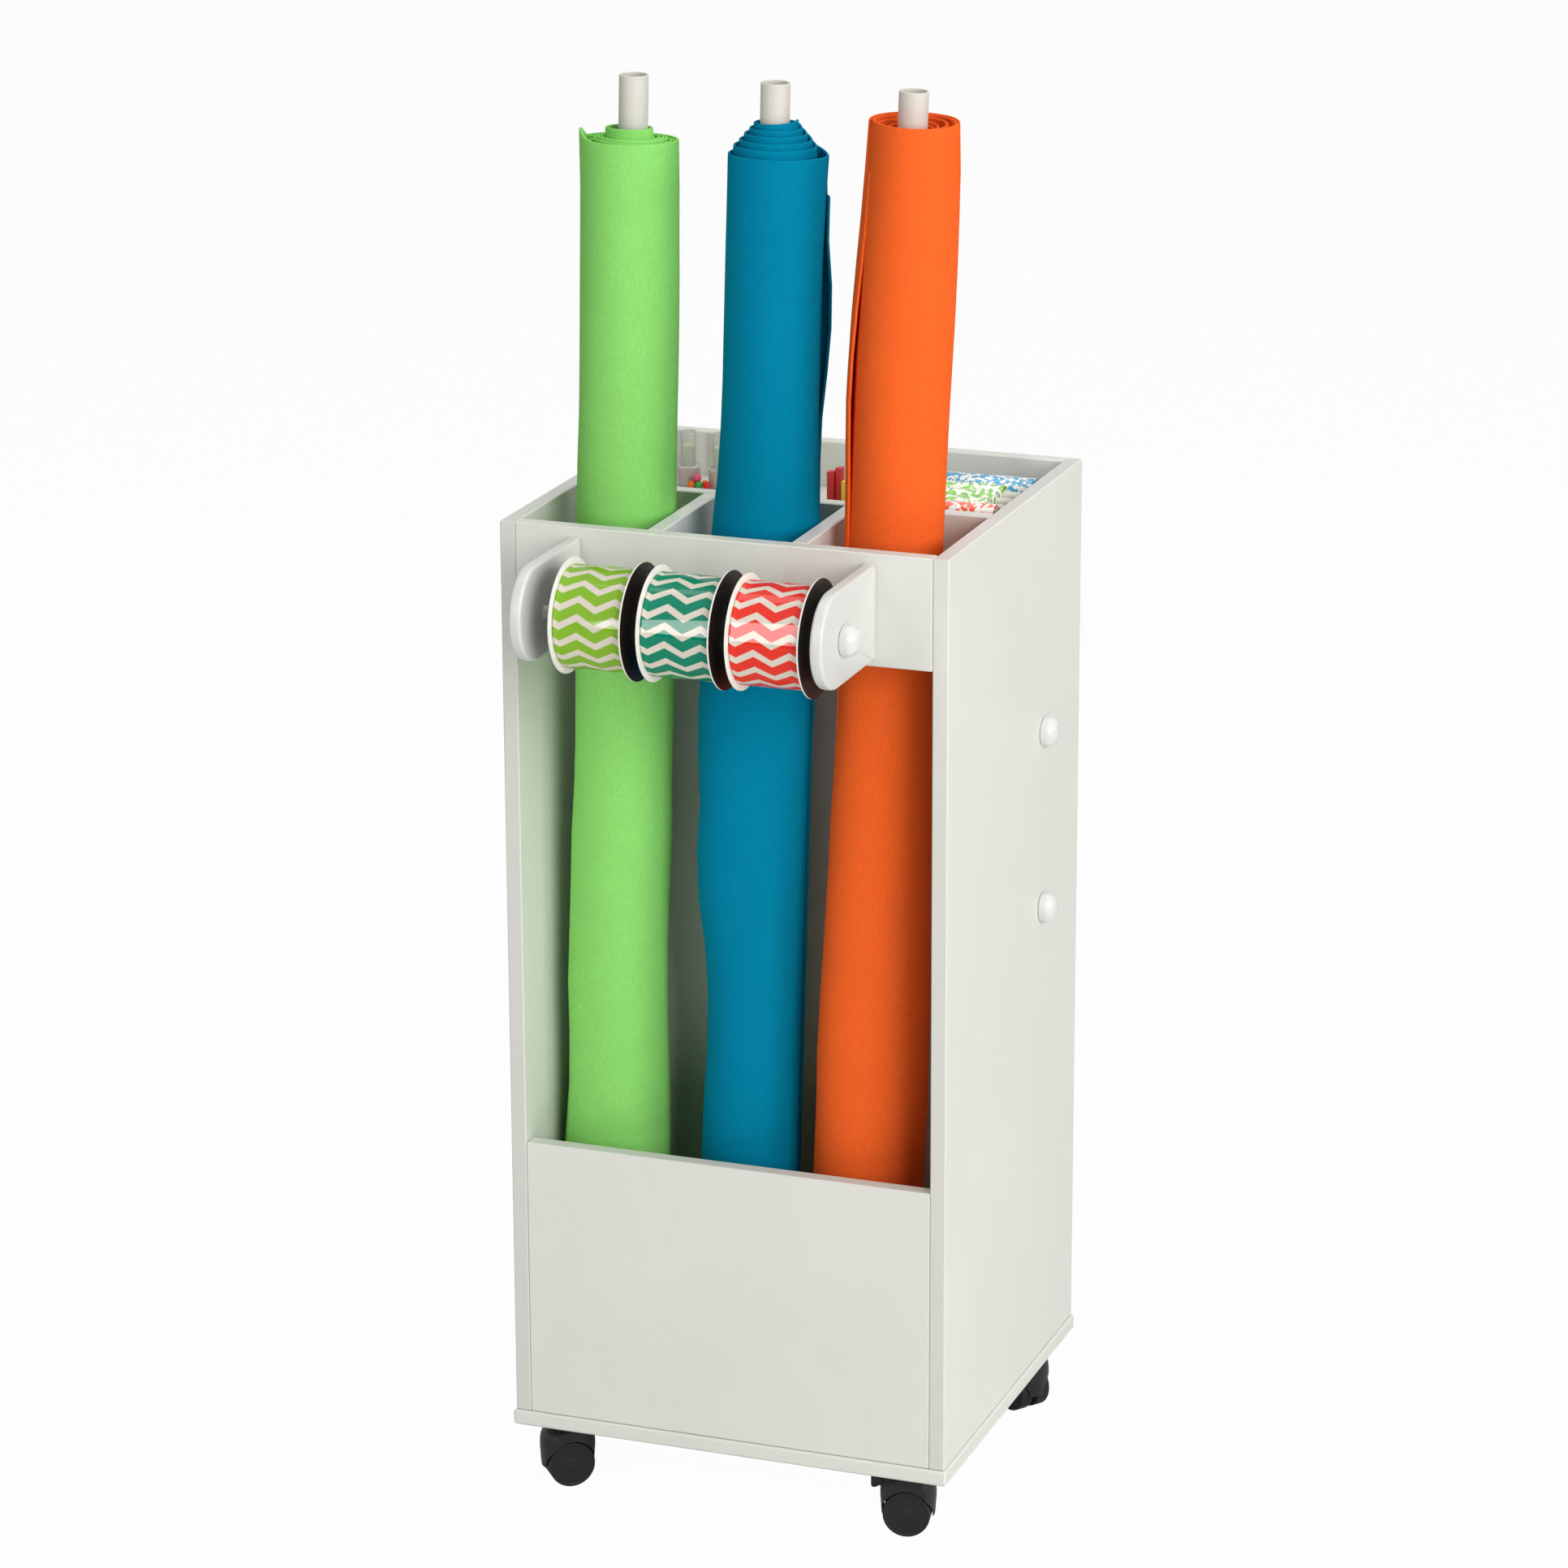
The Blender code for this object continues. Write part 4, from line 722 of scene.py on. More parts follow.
class CART_OT_felt(bpy.types.Operator):
    """Make the three rolls of felt and the tube inside each"""

    bl_idname = "cart.felt"
    bl_label = "Felt Rolls"

    def execute(self, context):
        paper = tube_finish("tube paper", context.scene.cart_colours.tube)
        for colour, roll in FELT_ROLLS.items():
            lean = math.radians(roll["lean"])
            sink = roll["radius"] * math.sin(lean) + SEAT
            place = (roll["foot"], ROLL_Y, BASE_TOP + sink)
            axes = np.array(((math.cos(lean), 0, math.sin(lean)), (0, 1, 0), (-math.sin(lean), 0, math.cos(lean))))
            self.tube(colour, (TUBE_TOP - sink) / math.cos(lean), roll["tube"], place, axes, paper)
            self.felt(context, colour, roll, (roll["top"] - sink) / math.cos(lean), place, axes)
        return {"FINISHED"}

    def tube(self, colour, length, off, place, axes, paper):
        """The paper tube: a ring turned about Z, moved across by the share of its height times how far its top is
        off the roll's middle."""
        inner = TUBE_RADIUS - TUBE_WALL
        profile = soften([(inner, 0), (TUBE_RADIUS, 0), (TUBE_RADIUS, length), (inner, length)], 0.0007, closed=True)
        shape = turned(profile)
        turn = np.linspace(0, 1, shape.shape[1]) * np.ones((len(profile), 1))
        uv = np.stack([turn, shape[..., 2]], -1)
        leaned = shape + shape[..., 2:] * (off / length, 0, 0)
        tube = put_in(f"felt_tube_{colour}_paper", [(placed(leaned, place, axes), {"uv": uv})], [paper])
        stand_for(tube, "felt_" + colour, "tube_card", "felt_tube_" + colour)

    def felt(self, context, colour, roll, length, place, axes):
        """The wound sheet. Its flat size is the spiral's length by the roll's height."""
        points, wound = wound_sheet(roll, length, context.scene.cart_sizes.felt)
        felt = felt_finish(colour + " felt", getattr(context.scene.cart_colours, "felt_" + colour))
        piece = put_in(f"felt_roll_{colour}_sheet", [(placed(points, place, axes), {})], [felt], 60)
        stand_for(piece, "felt_" + colour, colour + "_felt", "felt_roll_" + colour)


def waves(angle, share, seed):
    """Slight unevenness of a hand-wound roll: three long waves round it and up it."""
    return 0.00022 * (np.sin(2 * angle + 9 * share + seed) + np.sin(3 * angle - 14 * share + 2 * seed)
                      + 0.6 * np.sin(5 * angle + 23 * share + seed * 1.7))


def bell(angle, at, spread):
    """1 at one angle, falling off smoothly on both sides: exp(-(off / spread)^2)."""
    off = angle - math.radians(at)
    return np.exp(-(np.arctan2(np.sin(off), np.cos(off)) / math.radians(spread)) ** 2)


def swell(angle, share, at, spread, low, high):
    """A smooth swelling round one angle between two shares of the height: a bell round the angle, times the square
    of half a sine wave along the height."""
    part = np.clip((share - low) / (high - low), 0, 1)
    return bell(angle, at, spread) * np.sin(math.pi * part) ** 2


def along(share, *knots):
    """A length that varies up a roll: straight lines between (share, millimetres)."""
    shares, lengths = np.array(knots).T
    return np.interp(share, shares, lengths) / 1000


def green_push(angle, share, w):
    outer = 1 - smooth_rise(w, 1.1, 1.6)
    left = along(share, (0, 7), (0.22, 6), (0.245, 4), (0.262, 3.2), (0.286, 4), (0.311, 3.2), (0.336, 5.2),
                 (0.36, 5), (0.41, 4), (0.434, 4.4), (0.46, 4), (0.484, 2.6), (0.54, 1.2), (0.66, 1), (0.75, 1),
                 (0.78, 0), (0.84, 0), (0.95, 1), (0.975, 1.3), (1, 2.6))
    right = along(share, (0.2, 3), (0.262, 2), (0.286, 1.2), (0.311, -0.5), (0.336, -0.6), (0.36, -1), (0.4, -0.6),
                  (0.434, 0), (0.484, 1.2), (0.508, -1), (0.533, 0), (0.56, 1), (0.6, 1.6), (0.7, 0.6),
                  (0.77, -0.4), (0.84, 0.2), (0.89, 0.2), (0.93, -0.4), (0.97, -0.8), (1, -1.6))
    dent = -0.0026 * swell(angle, share, 336, 24, 0.12, 0.56)
    out = left * bell(angle, 200, 50) + right * bell(angle, 21, 45)
    tip = 0.0078 * bell(angle, 198, 24) * smooth_rise(share, 0.972, 1) * (w > 0.5) * (1 - smooth_rise(w, 0.93, 1.03))
    return outer * (out + dent) + waves(angle, share, 0.4) * (0.4 + outer), tip


def blue_push(angle, share, w):
    outer = 1 - smooth_rise(w, 1.1, 1.6)
    left = along(share, (0, 5), (0.22, 9), (0.267, 7.4), (0.29, 6.4), (0.322, 4.4), (0.353, 7.4), (0.384, 9.3),
                 (0.416, 14.7), (0.45, 17), (0.51, 14.5), (0.54, 17.5), (0.573, 18), (0.64, 14.5), (0.71, 11.5),
                 (0.742, 8.6), (0.769, 6.6), (0.787, 5.9), (0.806, 5.3), (0.825, 5), (0.862, 5.1), (0.955, 5.4),
                 (0.973, 5.1), (1, 5.2))
    right = along(share, (0.6, 0), (0.68, 3), (0.72, 3), (0.76, 0.5), (0.92, 0), (0.96, 1), (1, 2.5))
    inside = -0.0036 * smooth_rise(w, 1, 1.25) * share * np.cos(angle)
    loose = along(share, (0.815, 0), (0.84, 1.8), (0.862, 4), (0.88, 5.7), (0.9, 6.3), (0.918, 6.5), (0.936, 5.2),
                  (0.955, 2.4), (0.975, 0.5), (0.99, 0))
    flap = loose * bell(angle, 22, 24) * (1 - smooth_rise(w, 0.12, 0.3))
    dent = -0.0022 * swell(angle, share, 338, 22, 0.06, 0.6)
    out = left * bell(angle, 200, 55) + right * bell(angle, 21, 40) + dent
    return outer * out + flap + inside + waves(angle, share, 1.9) * (0.4 + outer), 0.0


def orange_push(angle, share, w):
    outer = 1 - smooth_rise(w, 1.1, 1.6)
    left = along(share, (0, 10.7), (0.25, 10.7), (0.31, 12.3), (0.36, 10.6), (0.408, 9.4), (0.457, 8), (0.505, 7),
                 (0.56, 4.9), (0.66, 4.3), (0.757, 3.8), (0.83, 3.7), (0.87, 2.5), (0.907, 1.2), (0.95, -0.4),
                 (0.975, -1.2), (1, -2.4))
    right = along(share, (0.25, 8.3), (0.31, 6.7), (0.344, 6), (0.375, 4.7), (0.41, 3.8), (0.44, 2.5), (0.5, 1.5),
                  (0.6, 1.2), (0.8, 1.2), (0.88, 2.2), (0.96, 1.8), (1, -0.4))
    flap = 0.0045 * swell(angle, share, 212, 24, 0.705, 0.985) * (1 - smooth_rise(w, 0.12, 0.3))
    inside = along(w, (2, 0), (3, 4), (4, 2), (5, 0)) * np.cos(angle - math.pi)
    out = left * bell(angle, 200, 55) + right * bell(angle, 21, 50)
    return outer * out + flap + inside + waves(angle, share, 3.1) * (0.4 + outer), 0.0


FELT_ROLLS = {
    "green": {"radius": 0.038, "foot": -0.1234, "lean": 1.4, "top": 1.026, "end": 170, "way": -1, "tilt": 0.004,
              "tube": 0.0014, "push": green_push,
              "winds": ((0, 37.2, 0), (0.414, 36.5, 0), (0.9, 36.7, 0), (1, 34.8, -1), (2, 31.5, -2), (3, 27.5, 1),
                        (4, 25, 2), (5.1, 22, 2), (5.5, 20.6, 2), (5.54, 20.4, 9.5), (5.9, 19, 9), (6.55, 14.2, 8.5))},
    "blue": {"radius": 0.036, "foot": -0.0087, "lean": 1.73, "top": 1.021, "end": 24, "way": 1, "tilt": 0.002,
             "tube": -0.0057, "push": blue_push,
             "winds": ((0, 34.9, -32), (0.035, 34.9, -32), (0.055, 34.8, 0), (1, 32.8, 0), (1.12, 32, 5.3),
                       (2, 29.5, 6.3), (2.12, 28.5, 10), (3, 26, 11), (3.12, 25, 14.7), (4, 22, 15.6),
                       (4.12, 21, 18.8), (5, 18.3, 19.8), (5.12, 17.5, 22.8), (5.6, 16.4, 23.4), (6, 15, 26))},
    "orange": {"radius": 0.036, "foot": 0.0853, "lean": 2.3, "top": 1.051, "end": 218, "way": -1, "tilt": 0.0,
               "twist": ((0, -32), (0.56, -32), (0.7, 0), (1, 0)), "tube": -0.0012, "push": orange_push,
               "winds": ((0, 34.9, -38), (0.035, 34.9, -38), (0.055, 34.8, 0), (1, 32.6, 0), (2, 30, -1), (3, 24, -3),
                         (4, 17.5, -5), (5, 13.2, -6))},
}


# Casters


def applied(piece):
    """Applies a piece's modifiers."""
    ready = piece.evaluated_get(bpy.context.evaluated_depsgraph_get())
    mesh = bpy.data.meshes.new_from_object(ready)
    piece.modifiers.clear()
    piece.data = mesh


def carved(piece, guides):
    """Joins or cuts each (guide, operation) and removes the guide. The wheel wells' edges are where a cylinder
    meets the bell, which one grid of points can't follow."""
    for guide, operation in guides:
        change = piece.modifiers.new(operation, "BOOLEAN")
        change.operation = operation
        change.solver = "EXACT"
        change.use_self = True
        change.object = guide
    applied(piece)
    for guide, _ in guides:
        bpy.data.objects.remove(guide)


def hood_surface():
    """The bell turned about Z, its profile a smooth curve through the shares of its radius and height."""
    rise = HOOD_TOP - EAR_BOTTOM
    knots = np.stack([HOOD_RADIUS * HOOD_RADIUS_SHARES, EAR_BOTTOM + rise * HOOD_HEIGHT_SHARES], 1)
    profile = soften(np.vstack([[0, EAR_BOTTOM], knots, [0, HOOD_TOP]]), [0, 0.0002, 0.005, 0.005, 0.005, 0.002,
                                                                          0.0008, 0], count=7)
    return turned(profile, 96)


def hood_spaces(lever):
    """Closed grids of what is taken out of a hood: two wheel wells, two gaps behind its ears, the lever's room."""
    side, half = HOOD_RADIUS + 0.004, HOOD_WEB / 2
    spaces = []
    for way in (-1, 1):
        well = turned([(0, half), (WHEEL_ROOM, half), (WHEEL_ROOM, side), (0, side)], 96)
        spaces.append(placed(well, (0, 0, WHEEL_RADIUS), along_y(way)))
        near, far = sorted((way * HOOD_HALF, way * side))
        spaces.append(box_surface((-side, near, EAR_BOTTOM - 0.004), (side, far, HOOD_TOP - 0.0006), 0.0003))
        low, high = sorted((way * AXLE_BOSS, way * (WHEEL_ROOM - 0.0008)))
        spaces.append(box_surface((low, -HOOD_WEB, EAR_BOTTOM - 0.004), (high, HOOD_WEB, EAR_SLOT_TOP), 0.0003))
    if lever:
        half_width, half_height = LEVER_WIDTH / 2 + RUN, LEVER_ARM / 2 + 0.0016
        spaces.append(box_surface((-HOOD_RADIUS - 0.004, -half_width, LEVER_PIVOT_HEIGHT - half_height),
                                  (-LEVER_PIVOT_OUT + 0.0049, half_width, LEVER_PIVOT_HEIGHT + half_height), 0.0006))
    return spaces


def wheel_surface():
    """A wheel turned about Z: a flat web, a shallow ring round its hub, and a rounded tread."""
    inner = HOOD_WEB / 2 + RUN
    outer = inner + WHEEL_WIDTH
    profile = soften([
        (0, inner), (WHEEL_RADIUS, inner), (WHEEL_RADIUS, outer), (0.0168, outer), (0.0164, outer - 0.0003),
        (0.0055, outer - 0.0003), (0.0050, outer), (0, outer)],
        [0, 0.0012, WHEEL_ROUND, 0.0005, 0.0005, 0.0005, 0.0008, 0], count=6)
    return turned(profile, 96)


def lever_surface():
    """The lever's arm and its taller thumb tab, an outline of (outwards, height) given a width."""
    arm, tab = LEVER_ARM / 2, LEVER_TAB / 2
    hub = LEVER_PIVOT_OUT - 0.0033
    lip = HOOD_RADIUS + RUN
    slope = lip + (LEVER_REACH - lip) * 0.4
    outline = soften([(hub, -arm), (lip, -arm), (slope, -tab), (LEVER_REACH, -tab), (LEVER_REACH, tab), (lip, tab),
                      (lip, arm), (hub, arm)], [0.002, 0.001, 0.002, 0.0028, 0.0012, 0.0008, 0.0004, 0.002],
                     closed=True, count=6)
    outline[:, 0] *= -1
    return plate(outline, LEVER_WIDTH, LEVER_EDGE)


class CART_OT_casters(bpy.types.Operator):
    """Make the four hooded twin-wheel casters and the brake lever"""

    bl_idname = "cart.casters"
    bl_label = "Casters"

    def execute(self, context):
        colour = context.scene.cart_colours.caster
        hood_plastic = moulded_plastic("hood plastic", colour, 0.40, 0.12, 2600.0, 0.00004, specular_ior_level=0.25)
        wheel_plastic = moulded_plastic("wheel plastic", shade(colour, 0.95), 0.5, 0.12, 2000.0, 0.00004,
                                        specular_ior_level=0.2)
        steel = moulded_plastic("stem steel", ink(170, 170, 168), 0.3, 0.05, 1500.0, 0.00002, metallic=1.0)
        for name, (x, y, degrees, trail) in CASTERS.items():
            turn = math.radians(degrees)
            cos, sin = math.cos(turn), math.sin(turn)
            axes = np.array(((cos, -sin, 0), (sin, cos, 0), (0, 0, 1)))
            stud, centre = (x, y, 0), (x + trail * cos, y + trail * sin, 0)
            lever = name == LEVER_CASTER
            self.hood(name, stud, centre, axes, lever, context.scene.cart_sizes.hood_edge, hood_plastic)
            self.stem(name, stud, steel)
            self.wheels(name, centre, axes, wheel_plastic)
            if lever:
                self.lever(centre, axes, hood_plastic)
        return {"FINISHED"}

    def hood(self, name, stud, centre, axes, lever, edge, plastic):
        """The bell with a boss round its stud, less the room for its wheels and lever, with eased edges."""
        hood = put_in(f"caster_hood_{name}_shell", [(placed(hood_surface(), centre, axes), {})], [plastic])
        boss = turned([(0, HOOD_TOP - 0.003), (HOOD_BOSS_RADIUS, HOOD_TOP - 0.003),
                       (HOOD_BOSS_RADIUS, HOOD_BOSS_TOP), (0, HOOD_BOSS_TOP)], 48)
        boss = put_in("boss_guide", [(placed(boss, stud, axes), {})], [plastic])
        rooms = [(placed(space, centre, axes), {}) for space in hood_spaces(lever)]
        rooms = put_in("room_guide", rooms, [plastic])
        carved(hood, [(boss, "UNION"), (rooms, "DIFFERENCE")])
        easing = hood.modifiers.new("eased edges", "BEVEL")
        easing.width = edge
        easing.segments = 2
        easing.limit_method = "ANGLE"
        easing.angle_limit = math.radians(50)
        applied(hood)
        hood.data.shade_smooth()
        hood.data.set_sharp_from_angle(angle=math.radians(38))
        stand_for(hood, "caster_" + name, "caster_plastic", "caster_hood_" + name)

    def stem(self, name, stud, steel):
        """The swivel stud and its collar, turned about Z."""
        low, high = HOOD_BOSS_TOP + SEAT, BASE_BOTTOM - SEAT
        profile = soften([(0, STEM_BOTTOM), (STEM_RADIUS, STEM_BOTTOM), (STEM_RADIUS, low), (COLLAR_RADIUS, low),
                          (COLLAR_RADIUS, high), (STEM_RADIUS, high), (STEM_RADIUS, BASE_TOP - 0.002),
                          (0, BASE_TOP - 0.002)], 0.0004)
        piece = put_in(f"caster_stem_{name}_steel", [(placed(turned(profile, 48), stud), {})], [steel])
        stand_for(piece, "cabinet", "steel", "caster_stem_" + name)

    def wheels(self, name, centre, axes, plastic):
        for side, way in (("outer", -1), ("inner", 1)):
            wheel = placed(wheel_surface(), (centre[0], centre[1], WHEEL_RADIUS), axes @ along_y(way))
            piece = put_in(f"caster_wheel_{name}_{side}_tread", [(wheel, {})], [plastic])
            stand_for(piece, f"wheel_{name}_{side}", "caster_plastic", f"caster_wheel_{name}_{side}")

    def lever(self, centre, axes, plastic):
        place = np.array((centre[0], centre[1], LEVER_PIVOT_HEIGHT)) + axes @ (0, LEVER_WIDTH / 2, 0)
        shape = placed(lever_surface(), place, axes @ along_y(-1))
        piece = put_in("brake_lever_tab", [(shape, {})], [plastic])
        stand_for(piece, "brake", "caster_plastic", "brake_lever")


# Supplies


def roll_surfaces(left, right, y, z, radius, reach=0.0):
    """A printed roll along X: paper wound in a spiral whose turns show as fine rings at its ends, and a bare tube
    that stands out of its right end by the reach. Points and map are in metres."""
    length = right - left
    rings = np.linspace(radius - 0.0003, 0.0065, 9)
    ring = np.repeat(rings, 2) - np.tile((0.0, 0.00045), 9)
    step = np.tile((0.0, -0.0003), 9)
    face = np.stack([ring, step], 1)
    left_face = np.stack([face[::-1, 0], -face[::-1, 1]], 1)
    right_face = np.stack([face[:, 0], length + face[:, 1]], 1)
    profile = np.vstack([[PAPER_BORE, 0.0], left_face, [radius, 0.0004], [radius, length - 0.0004], right_face,
                         [PAPER_BORE, length], [PAPER_BORE, 0.0]])
    shape = turned(profile, 48)
    along = np.linspace(0, 2 * math.pi * radius, 49) * np.ones((len(profile), 1))
    uv = np.stack([shape[..., 2], along], -1)
    tube = soften([(PAPER_TUBE_BORE, 0), (PAPER_TUBE, 0), (PAPER_TUBE, length + reach),
                   (PAPER_TUBE_BORE, length + reach)], 0.0003, closed=True)
    place = (left, y, z)
    return [(placed(shape, place, ALONG_X), {"uv": uv, "slot": 0}),
            (placed(turned(tube, 40), place, ALONG_X), {"slot": 1})]


class CART_OT_supplies(bpy.types.Operator):
    """Make the jars, pom-poms, sticks and printed rolls in the tray"""

    bl_idname = "cart.supplies"
    bl_label = "Supplies"

    def execute(self, context):
        floor = TRAY_FLOOR + SEAT
        self.jars(floor)
        self.poms(floor)
        self.sticks(floor)
        self.papers(context, floor)
        return {"FINISHED"}

    def jars(self, floor):
        """Each jar is one thin closed wall, turned about its upright middle, with its contents inside."""
        clear = moulded_plastic("clear plastic", ink(240, 242, 238), 0.16, 0.02, 800.0, 0.00004,
                                transmission_weight=0.75, ior=1.45)
        pink = felt_finish("jar filling", ink(236, 184, 168))
        lime = felt_finish("jar top filling", ink(206, 222, 176))
        wall, cup, neck, rim = JAR_WALL, JAR_CUP, JAR_NECK, JAR_RIM
        profile = soften([(0, 0), (cup, 0), (cup, JAR_CUP_TOP), (neck, JAR_CUP_TOP), (neck, JAR_NECK_TOP),
                          (rim, 0.0374), (rim, JAR_TOP), (rim - wall, JAR_TOP), (rim - wall, 0.038),
                          (neck - wall, 0.0376), (neck - wall, 0.0155), (cup - wall, 0.0155), (cup - wall, wall),
                          (0, wall)],
                         [0, 0.0012, 0.0012, 0.0008, 0.0006, 0.0006, 0.0005, 0.0005, 0.0004, 0.0004, 0.0004,
                          0.0008, 0.0008, 0])
        cup, neck, floor_gap = cup - wall - JAR_ROOM, neck - wall - JAR_ROOM, wall + JAR_ROOM
        fill = soften([(0, floor_gap), (cup, floor_gap), (cup, 0.0145), (0, 0.0150)], 0.0006)
        upper = soften([(0, 0.0158), (neck, 0.0158), (neck, 0.033), (0, 0.0342)], 0.0006)
        for side, x in JAR_XS.items():
            place = (x, JAR_Y, floor)
            jar = put_in(f"clear_jar_{side}_wall", [(placed(turned(profile, 64), place), {})], [clear])
            stand_for(jar, "jar_" + side, "clear_plastic", "clear_jar_" + side)
            for part, shape, finish in (("cup", fill, pink), ("neck", upper, lime)):
                piece = put_in(f"jar_{side}_{part}_filling", [(placed(turned(shape, 32), place), {})], [finish])
                stand_for(piece, "jar_" + side, "pom_fluff")

    def poms(self, floor):
        """Fluffy balls: the radius is the ball's times 1 plus small waves in both angles, like tufts of yarn."""
        middle = ((JAR_XS["left"] + JAR_XS["right"]) / 2, JAR_Y - 0.0097 - POM_RADIUS, floor + POM_RADIUS)
        steps = ((-0.0021, 0.0026, 0.0052), (0.0004, -0.0006, 0), (-0.0062, -0.0004, 0), (0.0068, 0.0, 0),
                 (0.0036, 0.0052, 0), (-0.0033, 0.0055, 0))
        row = [np.add(middle, step) for step in steps]
        inks = (ink(235, 96, 128), ink(70, 170, 80), ink(240, 120, 60), ink(220, 60, 60), ink(240, 130, 40),
                ink(214, 50, 60))
        fluffs = [felt_finish(f"pom-pom {k}", colour) for k, colour in enumerate(inks)]
        polar, angle = np.meshgrid(np.linspace(0, math.pi, 29), np.linspace(0, 2 * math.pi, 49), indexing="ij")
        tufts = 0.05 * np.sin(9 * polar) * np.sin(11 * angle) + 0.04 * np.sin(15 * polar + 1) * np.sin(17 * angle)
        r = POM_RADIUS * (0.95 + tufts * np.sin(polar))
        ball = np.stack([r * np.sin(polar) * np.cos(angle), r * np.sin(polar) * np.sin(angle), r * np.cos(polar)], -1)
        grids = [(placed(ball, place), {"slot": k}) for k, place in enumerate(row)]
        piece = put_in("pom_pom_balls", grids, fluffs, 180)
        stand_for(piece, "pom_pom_heap", "pom_fluff", "pom_poms")

    def sticks(self, floor):
        """Two red sticks and the edge of a yellow one behind them."""
        red = painted_wood("red stick paint", ink(190, 34, 34), (260, 260, 14))
        yellow = painted_wood("yellow stick paint", ink(232, 200, 60), (260, 260, 14))
        low, high = np.add(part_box("red_sticks"), (STICK_SHIFT, 0, 0))
        middle = (low[0] + high[0]) / 2
        gap = 0.0002
        grids = [
            (box_surface((low[0], low[1], floor), (middle - gap, low[1] + STICK_DEPTH, high[2] - STICK_STEP), 0.0007),
             {}),
            (box_surface((middle + gap, high[1] - STICK_DEPTH, floor), high, 0.0007), {}),
            (box_surface((high[0] + gap, low[1] + 0.002, floor),
                         (high[0] + YELLOW_WIDTH, high[1], high[2] - YELLOW_DROP), 0.0005), {"slot": 1})]
        stand_for(put_in("craft_sticks", grids, [red, yellow]), "sticks", "red_plastic", "red_sticks")

    def papers(self, context, floor):
        """Green rolls in a lower row and in the dips above it, an orange one in front, a blue one behind."""
        white = ink(236, 235, 228)
        inner = card_finish("roll tube card", ink(226, 224, 214))
        green = paper_finish("green print", ink(120, 186, 52), white, ink(150, 200, 90))
        orange = paper_finish("orange print", ink(238, 84, 32), white, ink(240, 120, 70))
        blue = paper_finish("blue print", ink(40, 150, 196), white, ink(30, 120, 150))
        low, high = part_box("printed_rolls_green")
        lower, upper = LOWER_PAPER, UPPER_PAPER
        left, right = low[0], high[0]
        pitch = 2 * lower - PAPER_PRESS
        first = low[1] + lower
        rows = [(left, right, first + k * pitch, floor + lower, lower - SEAT / 2) for k in range(PAPER_COUNT)]
        z = floor + lower + math.sqrt((lower + upper - PAPER_PRESS) ** 2 - (pitch / 2) ** 2)
        rows += [(left, right - PAPER_REACH, first + (k + 0.5) * pitch, z, upper - SEAT / 2, PAPER_REACH)
                 for k in (1, 2, 3)]
        grids = [grid for row in rows for grid in roll_surfaces(*row)]
        stand_for(put_in("printed_rolls_green_paper", grids, [green, inner]), "paper_green", "green_paper",
                  "printed_rolls_green")
        for colour, finish, size in (("orange", orange, upper), ("blue", blue, BACK_PAPER)):
            node = "printed_roll_" + colour
            low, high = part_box(node)
            y, z = (low[1] + high[1]) / 2, (low[2] + high[2]) / 2
            grids = roll_surfaces(low[0], high[0], y, z, size - SEAT / 2)
            piece = put_in(node + "_paper", grids, [finish, inner])
            stand_for(piece, "paper_" + colour, colour + "_paper", node)


# Stage


def facing(across, up, back, place):
    """The matrix of a lamp or a camera at a place: the columns are its right, its up and the way it turns away
    from."""
    return Matrix([(*row, p) for row, p in zip(np.stack([across, up, back], 1), place)] + [(0, 0, 0, 1)])


def softbox(name, place, target, width, height, power):
    """An area light that faces its target."""
    lamp = bpy.data.lights.new(name, "AREA")
    lamp.shape = "RECTANGLE"
    lamp.size, lamp.size_y, lamp.energy = width, height, power
    light = bpy.data.objects.new(name, lamp)
    bpy.context.collection.objects.link(light)
    away = np.array(place, float) - np.array(target, float)
    back = away / np.linalg.norm(away)
    across = np.cross((0, 0, 1), back)
    across /= np.linalg.norm(across)
    light.matrix_world = facing(across, np.cross(back, across), back, place)


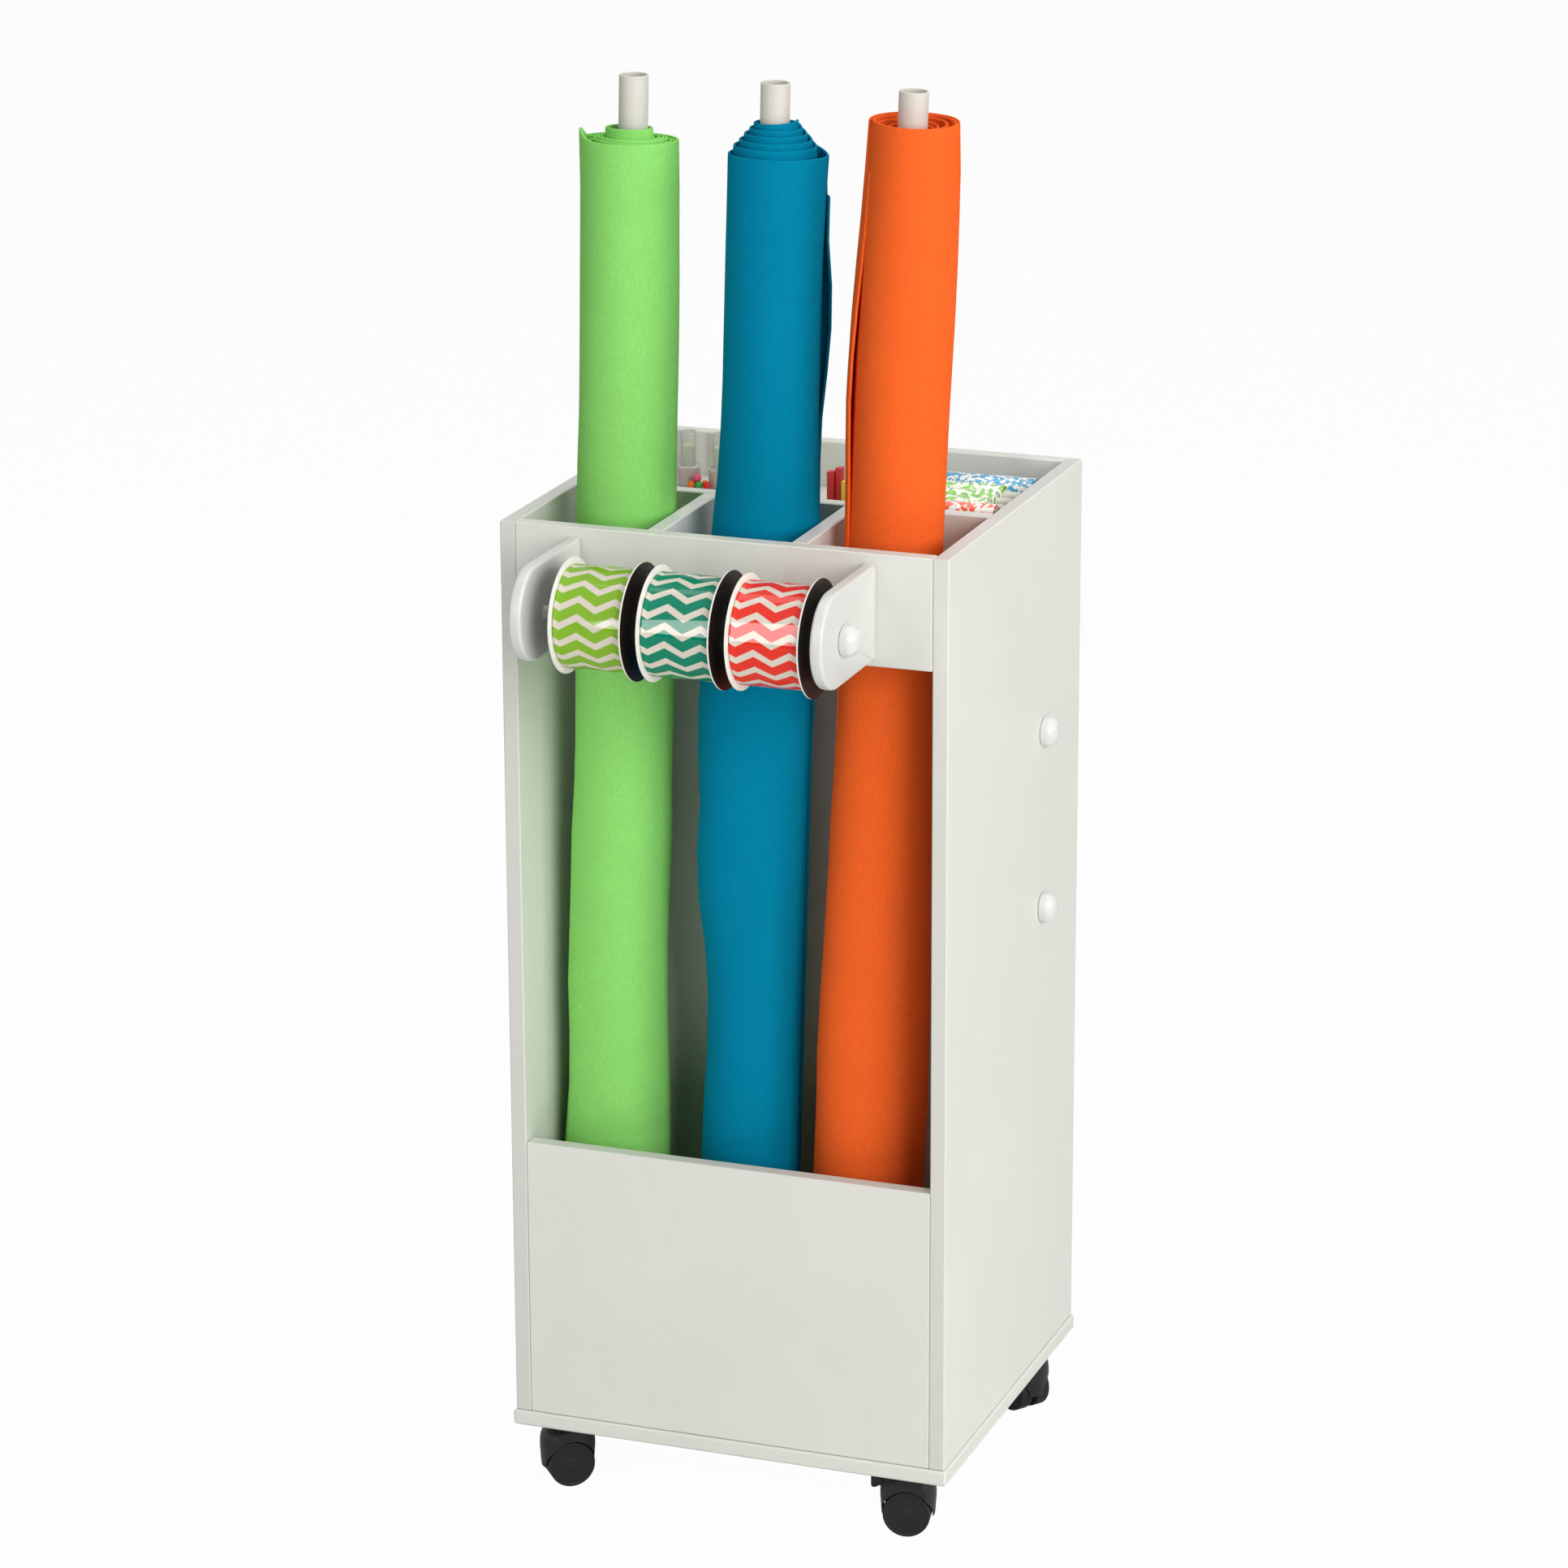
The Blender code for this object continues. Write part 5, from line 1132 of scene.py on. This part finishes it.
class CART_OT_stage(bpy.types.Operator):
    """Make the floor, the softboxes, the even light and the camera"""

    bl_idname = "cart.stage"
    bl_label = "Stage"

    def execute(self, context):
        self.floor()
        self.world(context)
        for name, (place, target, width, height) in SOFTBOXES.items():
            softbox(name + " softbox", place, target, width, height, getattr(context.scene.cart_stage, name))
        self.camera(context)
        context.scene.view_settings.view_transform = "Standard"
        return {"FINISHED"}

    def floor(self):
        """A wide pale plane that shows nearly white to the camera and keeps the cart's shadow."""
        mesh = bpy.data.meshes.new("floor")
        reach = FLOOR_REACH
        mesh.from_pydata([(-reach, -reach, 0), (reach, -reach, 0), (reach, reach, 0), (-reach, reach, 0)], [],
                         [(0, 1, 2, 3)])
        floor = bpy.data.objects.new("floor", mesh)
        bpy.context.collection.objects.link(floor)
        pale = Finish("pale floor", FLOOR_TONES[0], 0.9, specular_ior_level=0.0)
        pale.feed("Base Color", pale.mix(pale.noise(1.2, 2.0), *FLOOR_TONES))
        white = pale.node("ShaderNodeEmission", inputs={"Color": (1, 1, 1, 1), "Strength": 1.0})
        seen = pale.node("ShaderNodeLightPath", output="Is Camera Ray")
        shader = Value(pale, pale.shader.outputs[0])
        both = pale.node("ShaderNodeMixShader", inputs=[seen * FLOOR_GLOW, shader, white])
        pale.tree.links.new(both.socket, pale.tree.nodes["Material Output"].inputs["Surface"])
        mesh.materials.append(pale.material)

    def world(self, context):
        """Even white light at the chosen strength, and plain white where the camera, a mirror or glass sees it."""
        world = bpy.data.worlds.new("studio")
        context.scene.world = world
        world.use_nodes = True
        nodes = Nodes(world.node_tree)
        camera, glossy, through = (nodes.node("ShaderNodeLightPath", output=f"Is {ray} Ray")
                                   for ray in ("Camera", "Glossy", "Transmission"))
        seen = camera.most(glossy).most(through)
        level = nodes.node("ShaderNodeMapRange", inputs={0: seen, 3: context.scene.cart_stage.world, 4: 1.0})
        background = world.node_tree.nodes["Background"]
        nodes.join(background.inputs["Color"], (1, 1, 1, 1))
        nodes.join(background.inputs["Strength"], level)

    def camera(self, context):
        """The photograph's place and angle, with its middle on the lens's axis."""
        yaw, pitch, roll = CAMERA_YAW, CAMERA_PITCH, CAMERA_ROLL
        right = np.array((math.cos(yaw), math.sin(yaw), 0))
        ahead = np.array((-math.sin(yaw), math.cos(yaw), 0))
        up = np.array((0, 0, 1.0))
        forward = math.cos(pitch) * ahead - math.sin(pitch) * up
        above = math.cos(pitch) * up + math.sin(pitch) * ahead
        across = math.cos(roll) * right + math.sin(roll) * above
        above = -math.sin(roll) * right + math.cos(roll) * above
        lens = bpy.data.cameras.new("camera")
        lens.sensor_width = SENSOR_WIDTH
        lens.lens = SENSOR_WIDTH * FOCAL_PIXELS / PHOTO_PIXELS
        lens.clip_end = 200.0
        camera = bpy.data.objects.new("camera", lens)
        context.collection.objects.link(camera)
        camera.matrix_world = facing(across, above, -forward, CAMERA_PLACE)
        context.scene.camera = camera


PIECES = (CART_OT_boards, CART_OT_ribbon_holder, CART_OT_spools, CART_OT_rear_rods, CART_OT_felt,
          CART_OT_casters, CART_OT_supplies, CART_OT_stage)
SETTINGS = {"cart_colours": CartColours, "cart_sizes": CartSizes, "cart_stage": StageSettings}


class CART_PT_pieces(bpy.types.Panel):
    """Lists the cart's pieces"""

    bl_idname = "CART_PT_pieces"
    bl_label = "Craft Storage Cart"
    bl_space_type = "VIEW_3D"
    bl_region_type = "UI"
    bl_category = "Craft Cart"

    def draw(self, context):
        for piece in PIECES:
            self.layout.operator(piece.bl_idname)
        for name, group in SETTINGS.items():
            column = self.layout.column(heading=group.__doc__)
            for setting in group.__annotations__:
                column.prop(getattr(context.scene, name), setting)


def register():
    for group in SETTINGS.values():
        bpy.utils.register_class(group)
    for name, group in SETTINGS.items():
        setattr(bpy.types.Scene, name, bpy.props.PointerProperty(type=group))
    for piece in PIECES:
        bpy.utils.register_class(piece)
    bpy.utils.register_class(CART_PT_pieces)


def unregister():
    bpy.utils.unregister_class(CART_PT_pieces)
    for piece in reversed(PIECES):
        bpy.utils.unregister_class(piece)
    for name, group in SETTINGS.items():
        delattr(bpy.types.Scene, name)
        bpy.utils.unregister_class(group)


def main():
    register()
    for piece in PIECES:
        group, name = piece.bl_idname.split(".")
        getattr(getattr(bpy.ops, group), name)()


if __name__ == "__main__":
    main()
